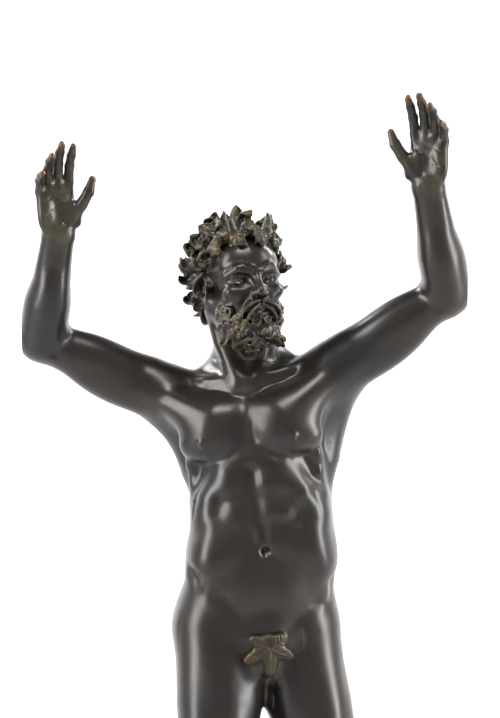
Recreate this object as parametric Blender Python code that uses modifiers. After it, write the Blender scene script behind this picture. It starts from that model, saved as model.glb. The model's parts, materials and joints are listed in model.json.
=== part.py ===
# A dancing faun in dark cast bronze, with a fig leaf cast apart and a low round plinth.
#
# The faun is one casting. It stands on its right foot and the toes of its left, leans back,
# turns its chest against its hips and throws both arms up, its head turned to the raised hand.
# Its left is +X and it faces -Y. The origin is the middle of the plinth's underside, and +Z is up.

import bmesh
import bpy
import numpy as np
from mathutils import Matrix

# Driving dimensions, in metres
STATURE = 0.500             # the faun's height if it stood straight
PLINTH_HEIGHT = 0.028
PLINTH_MARGIN = 0.015       # bronze left between the longer foot and the plinth's rim
PLINTH_FOOT = 0.006         # height of the plinth's square foot
PLINTH_HOLLOW = 0.004       # how deep the hollow moulding is cut in
PLINTH_BEAD = 0.0035        # radius of the bead round the top
PLINTH_FILLET = 0.0015      # flat band under the bead
PLINTH_STEPS = 48
LEAF_WIDTH = 0.038
LEAF_HEIGHT = 0.038
LEAF_SWELL = 0.0028         # the leaf's ribs stand this far off its middle surface
LEAF_SAG_SIDE = 0.0045      # how far the side lobes bend back round the body
LEAF_SAG_TIP = 0.0030       # how far the stem and the tip bend back
CLEARANCE = 0.0003          # between pieces that touch

# The figure's own measure: a straight man is 180 units tall, and all its masses are in units
UNITS_TALL = 180
UNIT = STATURE / UNITS_TALL
VOXEL = 0.55
FIGURE_TRIANGLES = 7800
SOLE_CUT = 0.5                      # how far up the soles are cut flat
FOOTING = np.array((3.5, -4.0))     # the spot between the feet that the plinth is centred on
SIDES = (-1, 1)                     # the faun's right, then its left

BRONZE = (0.045, 0.036, 0.031)
RUBBED_BRONZE = (0.16, 0.12, 0.065)


def unit(vector):
    vector = np.asarray(vector, float)
    return vector / np.linalg.norm(vector)


def turned(x=0.0, y=0.0, z=0.0):
    """Rotation by x, then y, then z degrees about the fixed axes."""
    rx, ry, rz = (Matrix.Rotation(np.radians(a), 3, n) for a, n in ((x, "X"), (y, "Y"), (z, "Z")))
    return np.array(rz @ ry @ rx)


def spun(vector, axis, angle):
    return np.array(Matrix.Rotation(angle, 3, tuple(axis))) @ vector


def scatter(index, kind):
    """A fixed number between -1 and 1 that differs for each lock and each use."""
    wave = np.sin(index * 12.9898 + kind * 78.233) * 43758.5453
    return 2 * (wave - np.floor(wave)) - 1


class Frame:
    """A place with its own axes and size, in which masses are given by x, y and z."""

    def __init__(self, origin, axes, size=1.0):
        self.origin = np.asarray(origin, float)
        self.axes = axes
        self.size = size

    def at(self, x, y, z):
        return self.origin + self.axes @ np.array((x, y, z), float) * self.size


class Bone:
    """A straight stretch of limb: t runs along it, front and side stand off it."""

    def __init__(self, start, end, front):
        self.start = np.asarray(start, float)
        self.run = np.asarray(end, float) - self.start
        self.along = unit(self.run)
        front = np.asarray(front, float)
        self.front = unit(front - self.along * (front @ self.along))
        self.side = np.cross(self.along, self.front)
        self.axes = np.array([self.front, self.side, self.along]).T

    def at(self, t, front=0.0, side=0.0):
        return self.start + self.run * t + self.front * front + self.side * side


def primitive(make, **sizes):
    """The corners and faces of one of Blender's primitives."""
    shape = bmesh.new()
    make(shape, **sizes)
    corners = np.array([v.co for v in shape.verts])
    faces = [[v.index for v in face.verts] for face in shape.faces]
    shape.free()
    return corners, faces


BALL = primitive(bmesh.ops.create_uvsphere, u_segments=20, v_segments=12, radius=1)
KNOB = primitive(bmesh.ops.create_uvsphere, u_segments=12, v_segments=8, radius=1)
ROD = primitive(bmesh.ops.create_cone, segments=12, cap_ends=True, radius1=1, radius2=1, depth=1)


class Masses:
    """Overlapping solid masses, gathered in one mesh and fused afterwards."""

    def __init__(self):
        self.corners = []
        self.faces = []
        self.count = 0

    def put(self, corners, faces):
        self.corners.append(corners)
        self.faces += [[i + self.count for i in face] for face in faces]
        self.count += len(corners)

    def lump(self, centre, radii, axes=None):
        corners, faces = BALL
        axes = np.eye(3) if axes is None else axes
        self.put(corners * radii @ axes.T + centre, faces)

    def strand(self, points, radii):
        """A round run through the points, with a radius at each."""
        radii = np.broadcast_to(radii, len(points))
        for point, radius in zip(points, radii):
            self.put(KNOB[0] * radius + point, KNOB[1])
        for start, end, r0, r1 in zip(points, points[1:], radii, radii[1:]):
            run = end - start
            first = unit(np.cross(run, (0.31, 0.83, 0.47)))
            second = np.cross(unit(run), first)
            x, y, z = ROD[0].T
            wide = np.where(z < 0, r0, r1)
            corners = np.outer(x * wide, first) + np.outer(y * wide, second) + np.outer(z, run)
            self.put(corners + (start + end) / 2, ROD[1])

    def mesh(self, name):
        mesh = bpy.data.meshes.new(name)
        mesh.from_pydata(np.concatenate(self.corners), [], self.faces)
        return mesh


# The spine: the hips turn a little to the faun's left, the chest back to its right

HIPS = np.array((0.0, 0.0, 93.0))
HIP_TURN = turned(x=4, y=4, z=12)
CHEST_TURN = turned(x=-7, y=-6, z=-8)
BEND_FROM = 6.0
BEND_TO = 32.0
SPINE_STEP = 0.5
UPPER_ARM = 31.0                    # shoulder to elbow, and elbow to wrist
FOREARM = 25.0


def spine_axes(height):
    """The trunk's axes at a height above the hips."""
    share = np.clip((height - BEND_FROM) / (BEND_TO - BEND_FROM), 0, 1)
    hips, chest = (Matrix(turn).to_quaternion() for turn in (HIP_TURN, CHEST_TURN))
    return np.array(hips.slerp(chest, float(share * share * (3 - 2 * share))).to_matrix())


def spine_frame(height):
    steps = max(1, int(round(abs(height) / SPINE_STEP)))
    rise = height / steps
    middles = (np.arange(steps) + 0.5) * rise
    return Frame(HIPS + sum(spine_axes(m)[:, 2] for m in middles) * rise, spine_axes(height))


def trunk(x, y, z):
    """A point of the trunk: x to its left, y to its back, z along the spine above the hips."""
    return spine_frame(z).at(x, y, 0)


RIGHT_SHOULDER = trunk(-17.0, 0.8, 50.0)
LEFT_SHOULDER = trunk(16.6, 0.8, 51.5)
RIGHT_ELBOW = RIGHT_SHOULDER + UPPER_ARM * unit((-0.80, -0.20, 0.40))
RIGHT_WRIST = RIGHT_ELBOW + FOREARM * unit((0.16, -0.40, 0.90))
LEFT_ELBOW = LEFT_SHOULDER + UPPER_ARM * unit((0.74, -0.18, 0.56))
LEFT_WRIST = LEFT_ELBOW + FOREARM * unit((-0.18, -0.38, 0.90))

FACING = unit((0.34, -0.91, 0.20))
CROWN = np.array((-0.10, 0.18, 0.98))
CROWN = unit(CROWN - FACING * (CROWN @ FACING))
HEAD = Frame(
    trunk(0, 2.5, 54.5) + np.array((-2.0, -4.4, 18.4)),
    np.array([np.cross(-FACING, CROWN), -FACING, CROWN]).T,
    1.0,
)


def add_trunk(masses):
    def lump(x, y, z, radii, turn=(0, 0, 0)):
        frame = spine_frame(z)
        masses.lump(frame.at(x, y, 0), radii, frame.axes @ turned(*turn))

    def strand(points, radii):
        masses.strand([trunk(*p) for p in points], radii)

    # rib cage, waist and hips
    lump(0, 0.8, 43, (12.8, 9.8, 13.0))
    lump(0, 0.0, 34, (13.4, 10.0, 11.5))
    lump(0, 0.2, 22, (12.8, 9.3, 11.2))
    lump(0, 0.6, 9, (14.0, 9.8, 11.5))
    # belly, and the mound under the leaf
    lump(0, -5.9, 9.5, (10.0, 4.2, 9.0))
    lump(0, -7.4, 1.2, (5.8, 3.8, 4.6))
    lump(0, -8.2, -4.4, (3.0, 3.2, 3.8))
    for s in SIDES:
        # buttock, hip and flank
        lump(7.4 * s, 6.4, 0.4, (8.2, 7.6, 8.8))
        lump(10.6 * s, 1.4, 4.0, (5.4, 7.4, 9.8))
        lump(10.3 * s, -0.8, 20.0, (3.8, 7.2, 7.2))
        lump(10.5 * s, -1.6, 15.2, (3.6, 6.7, 4.8), (14, -8 * s, 0))
        # muscles beside the spine and under the arm
        strand([(3.4 * s, 7.0, 7), (3.6 * s, 6.6, 20), (3.8 * s, 8.0, 34), (3.4 * s, 8.0, 46)],
               (2.7, 2.9, 2.7, 2.0))
        strand([(13.4 * s, 2.8, 44), (13.2 * s, 3.4, 35), (10.6 * s, 5.0, 24)], (4.4, 3.9, 2.6))
        # the arch of the ribs and the straight muscle of the belly
        strand([(1.4 * s, -7.9, 36.6), (5.0 * s, -8.1, 33.2), (8.8 * s, -6.5, 28.4),
                (11.2 * s, -3.2, 24.4)], (2.2, 2.6, 2.7, 2.4))
        for z, radii in ((30.6, (3.3, 2.4, 2.8)), (25.6, (3.5, 2.4, 2.7)), (20.4, (3.8, 2.6, 3.0))):
            lump(3.4 * s, -8.3, z, radii)
        lump(3.3 * s, -7.9, 12.2, (3.8, 2.6, 6.6))
        lump(7.2 * s, -6.3, 18.4, (4.0, 3.6, 3.9))
        # breast
        lump(7.2 * s, -7.1, 43.4, (8.0, 4.2, 6.6), (-8, 10 * s, 12 * s))
        lump(8.4 * s, -8.0, 40.2, (5.9, 3.6, 3.8), (0, 6 * s, 14 * s))


def add_shoulder(masses, s, shoulder, elbow, blade_out, blade_turn):
    """Collar bone, shoulder blade and the muscles that run out to the arm."""
    chest = spine_frame(50).axes
    notch = trunk(1.6 * s, -7.2, 52.0)
    top = shoulder + chest @ np.array((-1.2 * s, 0.2, 3.4))
    middle = (notch + top) / 2 + chest @ np.array((0, -1.7, 0.2))
    nape = chest @ np.array((-1.6 * s, 0.4, -2.2))
    masses.strand([trunk(9.5 * s, 1.0, 45), shoulder], (7.2, 5.3))
    masses.strand([trunk(2.4 * s, 3.0, 57.5), trunk(7.5 * s, 2.0, 53.5), top + nape],
                  (4.8, 4.9, 3.6))
    masses.strand([notch, middle, top], (1.2, 1.2, 1.4))
    masses.lump(trunk(blade_out * s, 8.0, 43.5), (5.8, 2.6, 8.2),
                spine_frame(44).axes @ turned(y=blade_turn * s, z=-12 * s))
    # armpit, behind and in front
    outward = elbow - shoulder
    masses.strand([trunk(13.2 * s, 5.4, 38),
                   shoulder + outward * 0.24 + chest @ np.array((-1.2 * s, 2.0, -1.8))], (3.6, 3.0))
    masses.strand([trunk(7.5 * s, -7.4, 44),
                   shoulder + outward * 0.18 + chest @ np.array((-1.2 * s, -2.4, -0.5))], (4.8, 3.1))


def add_arm(masses, shoulder, elbow, wrist, outer, palm):
    upper = Bone(shoulder, elbow, wrist - elbow)
    out = unit(outer - upper.along * (outer @ upper.along))
    cap_axes = np.array([out, np.cross(upper.along, out), upper.along]).T
    masses.strand([upper.at(0), upper.at(0.5), upper.at(1)], (5.8, 5.2, 4.6))
    masses.lump(upper.at(0.12) + out * 1.5, (5.5, 6.4, 8.5), cap_axes)
    masses.lump(upper.at(0.30) + out * 2.0, (3.7, 4.2, 7.1), cap_axes)
    masses.lump(upper.at(0.55, 2.2), (3.9, 4.3, 9.7), upper.axes)
    masses.lump(upper.at(0.46, -2.3, 1.2), (3.7, 3.6, 10.1), upper.axes)
    masses.lump(upper.at(0.44, -2.0, -1.8), (3.7, 3.5, 10.3), upper.axes)
    # elbow
    masses.lump(elbow + unit(upper.along - unit(wrist - elbow)) * 1.6, 2.9)
    for side in (-2.8, 2.8):
        masses.lump(upper.at(0.97, 0.1, side), 1.8)
    # forearm, broad below the elbow and flat at the wrist
    lower = Bone(elbow, wrist, palm)
    hinge = Bone(elbow, wrist, -upper.along)
    masses.strand([lower.at(0), lower.at(0.35), lower.at(0.75), lower.at(1)], (4.6, 4.7, 3.5, 2.7))
    masses.lump(hinge.at(0.22, 0.2, 2.2), (3.7, 3.5, 9.5), hinge.axes)
    masses.lump(hinge.at(0.27, 0.3, -2.2), (3.7, 3.5, 9.9), hinge.axes)
    masses.lump(hinge.at(0.20, -1.5), (3.3, 3.5, 8.3), hinge.axes)
    for side in (-1, 1):
        masses.strand([lower.at(0.62, 0, side), lower.at(0.99, 0, 1.4 * side)], (2.4, 2.05))


HAND_SIZE = 1.08
KNUCKLES = ((3.05, 0.1, 9.0), (1.05, -0.1, 9.5), (-0.95, -0.05, 9.1), (-2.85, 0.15, 8.2))
FINGER_LENGTHS = (7.4, 8.2, 7.6, 6.0)
FINGER_RADII = (0.98, 1.0, 0.95, 0.86)
THUMB = ((2.2, 0.9, 2.0), (4.5, 1.9, 4.6), (6.0, 2.6, 7.0), (6.9, 2.8, 9.2))


def add_hand(masses, s, wrist, along, palm, curls, spreads):
    """An open hand: curls are each finger's three bends, in degrees, from the forefinger on."""
    along = unit(along)
    palm = unit(palm - along * (palm @ along))
    inward = np.cross(along, palm) * -s
    hand = Frame(wrist, np.array([inward, palm, along]).T, HAND_SIZE)
    for side in (-1.3, 1.3):
        masses.strand([hand.at(side, 0, -1), hand.at(side * 1.2, -0.1, 2.5)], (1.8, 1.6))
    masses.lump(hand.at(0.1, 0.1, 5.6), (3.9, 1.5, 4.6), hand.axes)
    masses.lump(hand.at(-2.6, 0.75, 4.0), (1.7, 1.4, 3.9), hand.axes @ turned(y=6))
    masses.lump(hand.at(2.5, 0.9, 3.4), (1.9, 1.6, 3.6), hand.axes @ turned(y=-24))
    for knuckle, length, radius, bends, spread in zip(
            KNUCKLES, FINGER_LENGTHS, FINGER_RADII, curls, spreads):
        masses.strand([hand.at(knuckle[0] * 0.45, 0, 1.5), hand.at(*knuckle)], (1.4, 1.2))
        heading = np.cos(np.radians(spread)) * along + np.sin(np.radians(spread)) * inward
        points = [hand.at(*knuckle)]
        for share, bend in zip((0.44, 0.31, 0.25), np.radians(np.cumsum(bends))):
            way = np.cos(bend) * heading + np.sin(bend) * palm
            points.append(points[-1] + HAND_SIZE * length * share * way)
        masses.strand(points, HAND_SIZE * radius * np.array((1.1, 1.0, 0.95, 0.8)))
    masses.strand([hand.at(*p) for p in THUMB], (1.5, 1.3, 1.15, 0.9))


def add_leg(masses, hip, knee, ankle, toe_way, outside):
    """Thigh and shin. outside is 1 where the bone's own side axis points out of the body."""
    along = unit(knee - hip)
    thigh = Bone(hip, knee, np.cross(along, np.cross(toe_way, along)))
    out = outside * np.sign(thigh.side @ HIP_TURN[:, 0])
    masses.strand([thigh.at(0.02), thigh.at(0.35), thigh.at(0.75), thigh.at(1)],
                  (9.0, 8.6, 6.5, 5.4))
    masses.lump(thigh.at(0.42, 2.8, 0.3 * out), (5.7, 5.7, 15.8), thigh.axes)
    masses.lump(thigh.at(0.45, 0.6, 4.3 * out), (5.9, 4.2, 16.8), thigh.axes)
    masses.lump(thigh.at(0.74, 1.9, -3.4 * out), (3.5, 3.0, 6.4), thigh.axes)
    masses.lump(thigh.at(0.28, 0.4, -4.4 * out), (6.0, 4.8, 12.8), thigh.axes)
    for side in (1.9, -2.1):
        masses.lump(thigh.at(0.46, -3.7, side * out), (4.8, 4.2, 17.4), thigh.axes)
    masses.lump(knee + thigh.front * 3.2 + thigh.along * 0.5, (2.7, 2.7, 3.1), thigh.axes)
    shin = Bone(knee, ankle, toe_way)
    masses.strand([shin.at(0), shin.at(0.3), shin.at(0.7), shin.at(1)], (5.1, 4.7, 3.4, 3.0))
    masses.strand([shin.at(0.08, 2.6), shin.at(0.5, 1.8), shin.at(0.92, 0.7)], (1.9, 1.5, 1.4))
    for side in (1.9, -1.9):
        masses.lump(shin.at(0.26, -2.6, side * out), (3.9, 3.5, 9.2), shin.axes)
    masses.lump(shin.at(0.44, -1.2), (3.2, 4.0, 9.1), shin.axes)
    masses.strand([shin.at(0.6, -2.6), shin.at(0.96, -3.2)], (1.8, 1.2))
    for side in (2.7, -2.7):
        masses.lump(shin.at(0.98, 0.2, side), (1.6, 1.3, 1.6))


TOE_REACH = (5.6, 5.4, 5.0, 4.5, 3.9)


def add_foot(masses, s, ankle, heel, ball, toe_way):
    """A foot from the heel to the ball, with its toes lying on the ground along toe_way."""
    inner = unit(np.cross(toe_way, (0, 0, 1))) * -s
    instep = ankle * 0.5 + heel * 0.5 + toe_way * 2
    masses.lump(heel, 2.9)
    masses.strand([ankle, heel], (3.1, 2.8))
    for x, r0, r1 in ((2.6, 2.5, 1.85), (0.0, 2.7, 1.9), (-2.5, 2.3, 1.65)):
        masses.strand([instep - inner * x * 0.3, ball + inner * x], (r0, r1))
    masses.strand([ankle + toe_way * 1.5, (ankle + ball) / 2 + inner + (0, 0, 0.6)], (2.7, 2.3))
    for i, reach in enumerate(TOE_REACH):
        radius = 1.35 if i == 0 else 1.0 - 0.05 * i
        root = ball + inner * (3.0 - 1.55 * i - (0.35 if i else 0)) + toe_way * (0.2 - 0.27 * i)
        tip = root + toe_way * (reach * 0.86 - 0.2 * i)
        middle = (root + tip) / 2
        tip[2] = radius * 0.95
        middle[2] = max(middle[2], radius + 0.45)
        masses.strand([root, middle, tip], (radius * 1.05, radius, radius * 0.95))


# The head, in its own frame: x to its left, y to its back, z to its crown, from between the eyes

SKULL_CENTRE = np.array((0, 1.6, 3.6))
SKULL_RADII = np.array((7.5, 9.4, 8.0))
BEARD_CENTRE = np.array((0, -2.2, -6.4))
BEARD_RADII = np.array((6.3, 6.6, 6.4))
WREATH_CENTRE = np.array((0, 1.8, 6.4))
WREATH_RADII = (8.3, 10.0)
WREATH_TILT = np.radians(-22)
WREATH_LEAVES = 22
BERRY_KNOTS = 7


def on_shell(centre, radii, turn, rise):
    """A point of an ellipsoid and its outward normal, by turn from the face and rise."""
    t, r = np.radians((turn, rise))
    way = np.array((np.sin(t) * np.cos(r), -np.cos(t) * np.cos(r), np.sin(r)))
    return centre + way * radii, unit(way / radii)


class Sized:
    """Passes masses on in the head's frame, at the head's size."""

    def __init__(self, masses, frame):
        self.masses = masses
        self.frame = frame

    def lump(self, point, radii, turn=(0, 0, 0)):
        radii = np.broadcast_to(radii, 3) * self.frame.size
        self.masses.lump(self.frame.at(*point), radii, self.frame.axes @ turned(*turn))

    def strand(self, points, radii):
        points = [self.frame.at(*p) for p in points]
        self.masses.strand(points, np.asarray(radii) * self.frame.size)


def add_face(head):
    head.lump(SKULL_CENTRE, SKULL_RADII)
    head.lump((0, -4.0, -2.5), (6.2, 5.3, 8.7))
    head.lump((0, -4.6, 4.6), (6.3, 4.3, 4.7))
    head.lump((0, -7.4, -9.6), (2.8, 2.4, 2.4))
    # nose and lips
    head.strand([(0, -8.6, 2.0), (0, -9.9, -0.8), (0, -11.0, -2.7)], (1.0, 1.05, 1.15))
    head.lump((0, -8.7, -6.5), (3.0, 1.9, 2.2))
    for s in SIDES:
        head.lump((1.2 * s, -9.8, -3.2), (1.0, 1.3, 1.0))
        # jaw, cheekbone, brow and eye
        head.strand([(5.9 * s, 0.6, -4.5), (4.9 * s, -3.8, -9.0), (1.6 * s, -7.6, -10.6)],
                    (2.0, 1.9, 1.8))
        head.lump((4.6 * s, -6.3, -2.2), (2.3, 2.1, 1.7))
        head.strand([(5.5 * s, -6.3, 1.5), (3.6 * s, -8.5, 2.5), (1.2 * s, -9.1, 1.9)],
                    (0.95, 1.1, 0.95))
        head.lump((3.15 * s, -7.0, 0.0), 1.3)
        # moustache
        head.strand([(0.4 * s, -10.0, -5.0), (2.4 * s, -9.9, -5.8), (4.6 * s, -8.6, -6.4)],
                    (0.8, 1.1, 0.7))
        # pointed ear
        head.lump((7.7 * s, 1.2, 0.0), (1.0, 2.0, 3.0), (-18, 0, 22 * s))
        head.strand([(7.1 * s, -0.2, -2.7), (8.2 * s, 2.2, -1.0), (9.0 * s, 3.9, 3.6),
                     (7.7 * s, 0.4, 2.2)], (0.7, 0.8, 0.5, 0.7))
        # horn
        head.strand([(3.2 * s, -6.2, 8.6), (3.8 * s, -7.6, 10.6), (4.3 * s, -7.9, 12.6),
                     (4.6 * s, -7.2, 14.0)], (1.3, 1.1, 0.85, 0.5))


def lock_line(root, heading, normal, length, twist, curl, steps):
    """The middle line of a lock that leaves the head along heading and rolls up at its end."""
    heading = unit(heading - normal * (heading @ normal) * 0.55)
    axis = unit(np.cross(heading, normal))
    axis = unit(axis * np.cos(twist) + normal * np.sin(twist))
    way = unit(heading + normal * 0.35)
    line = [root]
    for share in (np.arange(steps) + 1) / steps:
        way = spun(way, axis, curl * (0.25 + 1.75 * share) / steps)
        line.append(line[-1] + way * length / steps * (1.25 - 0.7 * share))
    return line


HAIR_RISES = (74, 52, 34, 16, -2, -20, -36)
HAIR_SPACING = 21.0
LOCK_TAPER = (0.85, 1.0, 1.0, 0.9, 0.75, 0.5)


def hairline(turn):
    """How high up the skull the hair starts, by the turn from the face."""
    return np.interp(abs(turn), (0, 40, 62, 78, 90, 104), (50, 42, 22, -2, -14, -60))


def add_hair(head):
    head.lump((0, 3.4, 4.6), (8.9, 9.4, 8.6))
    head.lump((0, 5.8, -1.5), (7.4, 6.2, 7.2))
    for row, rise in enumerate(HAIR_RISES):
        count = max(4, round(360 * np.cos(np.radians(rise)) / HAIR_SPACING))
        for i in range(count):
            index = 100 * row + i
            turn = -180 + 360 * (i + 0.5 * (row % 2)) / count + 5 * scatter(index, 1)
            lift = rise + 4 * scatter(index, 2)
            if lift < hairline(turn):
                continue
            root, normal = on_shell(SKULL_CENTRE, SKULL_RADII, turn, lift)
            out = np.sin(np.radians(turn))
            if lift > 45 and abs(turn) < 75:
                way = np.array((out, 0.25, 0.9))
            elif abs(turn) < 100:
                way = np.array((0.3 * out, 1.0, -0.15))
            else:
                way = np.array((0.6 * out, 0.45, -0.8))
            way = way + np.cross(normal, way) * 0.7 * scatter(index, 3)
            roll = np.sign(scatter(index, 4)) * (2.7 + 0.9 * scatter(index, 5))
            twist = np.sign(scatter(index, 6)) * (0.75 + 0.55 * scatter(index, 7))
            length = 7.5 + scatter(index, 8)
            line = lock_line(root + normal * 0.6, way, normal, length, twist, roll, 5)
            head.strand(line, 1.45 * np.array(LOCK_TAPER))


BEARD_ROWS = ((20, 14, 72), (2, 15, 50), (-18, 14, 20), (-38, 12, 0), (-58, 9, 0), (-78, 5, 0))
CHIN_LOCKS = 15


def add_beard(head):
    """Curls in rows round the jaw, each row's rise, count and gap in front, and locks below."""
    for row, (rise, count, gap) in enumerate(BEARD_ROWS):
        for i in range(count):
            index = 1000 + 100 * row + i
            turn = -106 + 212 * (i + 0.5) / count + 3 * scatter(index, 1)
            if abs(turn) < gap:
                continue
            point, normal = on_shell(BEARD_CENTRE, BEARD_RADII, turn, rise + 3 * scatter(index, 2))
            grow = 0.035 * row * max(0, np.cos(np.radians(turn)))
            head.lump(point + (point - BEARD_CENTRE) * grow + normal * 0.3, 1.3 + 0.06 * row)
    for i in range(CHIN_LOCKS):
        index = 2000 + i
        turn = np.radians(-84 + 168 * (i + 0.5) / CHIN_LOCKS)
        out = np.array((np.sin(turn), -np.cos(turn), 0))
        root = BEARD_CENTRE + out * (5.2, 6.6, 0) + (0, 0, -4.6 + 0.8 * (i % 2))
        roll = np.sign(scatter(index, 4)) * (2.8 + 0.8 * scatter(index, 5))
        line = lock_line(root, np.array((0.15 * out[0], -0.25, -1.0)), unit(out - (0, 0, 0.4)),
                         4.3 + 0.7 * scatter(index, 6), 1.2 * scatter(index, 7), roll, 5)
        head.strand(line, 1.1 * np.array(LOCK_TAPER))


def wreath_point(angle, out=0.0):
    x, y = np.sin(angle) * (WREATH_RADII[0] + out), -np.cos(angle) * (WREATH_RADII[1] + out)
    return WREATH_CENTRE + np.array((x, y * np.cos(WREATH_TILT), y * np.sin(WREATH_TILT)))


def add_wreath(head):
    """A vine round the hair with ivy leaves lying over it, up and down by turns, and berries."""
    head.strand([wreath_point(a) for a in np.linspace(0, 2 * np.pi, 25)], 0.75)
    for i in range(WREATH_LEAVES):
        angle = 2 * np.pi * (i + 0.5) / WREATH_LEAVES
        out = unit(wreath_point(angle, 1.0) - wreath_point(angle))
        along = unit(wreath_point(angle + 0.05) - wreath_point(angle))
        across = np.cross(out, along)
        across = across * np.sign(across[2]) * (1 if i % 2 else -1)
        size = 3.45 + 0.45 * scatter(3000 + i, 1)
        way = unit(0.9 * across + (0.55 + 0.35 * scatter(3000 + i, 2)) * along + 0.25 * out)
        heart = wreath_point(angle, 0.5) + way * size * 0.3
        for turn, reach in ((0, 1.0), (50, 0.7), (-50, 0.7)):
            point = heart + spun(way, out, np.radians(turn)) * size * reach * 0.6
            head.strand([heart, point], (size * 0.27, size * 0.13))
    for i in range(BERRY_KNOTS):
        head.lump(wreath_point(2 * np.pi * (i + 0.15) / BERRY_KNOTS, 1.1), 1.05)


def add_neck(masses):
    base = trunk(0, 1.2, 51)
    masses.strand([base, (base + HEAD.at(0, 3.6, -4.5)) / 2, HEAD.at(0, 1.0, -3.0)],
                  (7.4, 6.8, 6.6))
    for s in SIDES:
        middle = (trunk(3.6 * s, -4.2, 56) + HEAD.at(5.6 * s, 1.2, -6)) / 2
        masses.strand([trunk(1.5 * s, -7.0, 52.0), middle, HEAD.at(6.0 * s, 2.4, -3.0)],
                      (1.4, 2.2, 2.3))


def add_tail(masses):
    line = [trunk(0, 8.6, 8.0), trunk(0.6, 13.0, 8.4), trunk(1.0, 16.6, 10.6), trunk(0.4, 18.6, 14.6)]
    masses.strand(line, (2.4, 2.1, 1.6, 0.7))


def add_limbs(masses):
    add_shoulder(masses, -1, RIGHT_SHOULDER, RIGHT_ELBOW, 10.4, -18)
    add_shoulder(masses, 1, LEFT_SHOULDER, LEFT_ELBOW, 10.6, -20)
    add_arm(masses, RIGHT_SHOULDER, RIGHT_ELBOW, RIGHT_WRIST,
            np.array((-0.35, 0.1, 0.93)), np.array((0.3, -1.0, 0.1)))
    add_arm(masses, LEFT_SHOULDER, LEFT_ELBOW, LEFT_WRIST,
            np.array((0.30, 0.1, 0.93)), np.array((-0.3, -1.0, 0.1)))
    right_way = unit((0.25, -0.97, 0))
    left_way = unit((0.55, -0.84, 0))
    right_ankle = np.array((-4.0, -7.0, 9.0))
    left_ankle = np.array((15.0, 18.0, 16.5))
    add_leg(masses, trunk(-8.8, 0, 0), np.array((-7.5, -12.0, 51.5)), right_ankle, right_way, -1)
    add_leg(masses, trunk(8.8, 0, 0), np.array((15.5, -4.0, 50.5)), left_ankle, left_way, 1)
    add_foot(masses, -1, right_ankle, np.array((-4.6, -5.2, 2.8)), np.array((-0.8, -21.0, 2.0)),
             right_way)
    add_foot(masses, 1, left_ankle, np.array((12.9, 20.6, 11.6)), np.array((21.5, 7.5, 2.2)),
             left_way)


def add_hands(masses):
    """Both hands open, the fingers lightly bent and a little apart."""
    curls = ((10, 14, 8), (14, 18, 10), (20, 24, 14), (26, 30, 16))
    spreads = (7, 2, -3, -9)
    add_hand(masses, -1, RIGHT_WRIST, np.array((-0.10, -0.16, 1.0)), np.array((0.45, -1.0, 0.1)),
             curls, spreads)
    add_hand(masses, 1, LEFT_WRIST, np.array((0.04, -0.14, 1.0)), np.array((-0.45, -1.0, 0.1)),
             curls, spreads)


def new_object(name, mesh, collection):
    thing = bpy.data.objects.new(name, mesh)
    collection.objects.link(thing)
    return thing


def as_mesh(source, name):
    """The object's mesh with its modifiers worked in."""
    thing = source.evaluated_get(bpy.context.evaluated_depsgraph_get())
    mesh = bpy.data.meshes.new_from_object(thing)
    mesh.name = name
    return mesh


def keep_largest_shell(mesh):
    """Takes out pockets closed in between the locks, and anything that stands free."""
    body = bmesh.new()
    body.from_mesh(mesh)
    left = set(body.verts)
    shells = []
    while left:
        shell = {left.pop()}
        edge = set(shell)
        while edge:
            edge = {e.other_vert(v) for v in edge for e in v.link_edges} & left
            left -= edge
            shell |= edge
        shells.append(shell)
    shells.sort(key=len)
    loose = [v for shell in shells[:-1] for v in shell]
    bmesh.ops.delete(body, geom=loose, context="VERTS")
    body.to_mesh(mesh)
    body.free()


def fuse(masses, name, voxel, rounds, collection):
    """One closed skin over all the masses, its creases softened into fillets."""
    rough = new_object(name + "_masses", masses.mesh(name), collection)
    remesh = rough.modifiers.new("one_skin", "REMESH")
    remesh.mode = "VOXEL"
    remesh.voxel_size = voxel
    soften = rough.modifiers.new("soft_creases", "SMOOTH")
    soften.factor = 0.5
    soften.iterations = rounds
    skin = as_mesh(rough, name)
    bpy.data.objects.remove(rough)
    keep_largest_shell(skin)
    return skin


def figure_place():
    """From the figure's units, with its uncut soles at 0, to its place on the plinth."""
    shift = (-FOOTING[0] * UNIT, -FOOTING[1] * UNIT,
             PLINTH_HEIGHT + CLEARANCE - SOLE_CUT * UNIT)
    return Matrix.Translation(shift) @ Matrix.Scale(UNIT, 4)


def make_faun(collection, cutters):
    soft = Masses()
    add_trunk(soft)
    add_limbs(soft)
    add_neck(soft)
    add_tail(soft)
    whole = Masses()
    body = fuse(soft, "body", VOXEL, 14, collection)
    whole.put(np.array([v.co for v in body.vertices]), [list(f.vertices) for f in body.polygons])
    bpy.data.meshes.remove(body)
    add_hands(whole)
    head = Sized(whole, HEAD)
    add_face(head)
    add_hair(head)
    add_beard(head)
    add_wreath(head)
    skin = fuse(whole, "faun", VOXEL, 2, collection)
    skin.transform(figure_place())
    faun = new_object("faun", skin, collection)
    triangles = sum(len(face.vertices) - 2 for face in skin.polygons)
    facet = faun.modifiers.new("facets", "DECIMATE")
    facet.ratio = FIGURE_TRIANGLES / triangles
    # the soles are cut flat where they meet the plinth
    ground = bmesh.new()
    bmesh.ops.create_cube(ground, size=1.0)
    below = bpy.data.meshes.new("ground")
    ground.to_mesh(below)
    ground.free()
    depth = 0.1 * STATURE
    wide = STATURE
    below.transform(Matrix.Translation((0, 0, PLINTH_HEIGHT + CLEARANCE - depth / 2))
                    @ Matrix.Diagonal((wide, wide, depth, 1)))
    cutter = new_object("ground_cutter", below, cutters)
    flatten = faun.modifiers.new("flat_soles", "BOOLEAN")
    flatten.operation = "DIFFERENCE"
    flatten.solver = "EXACT"
    flatten.object = cutter
    return faun


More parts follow.
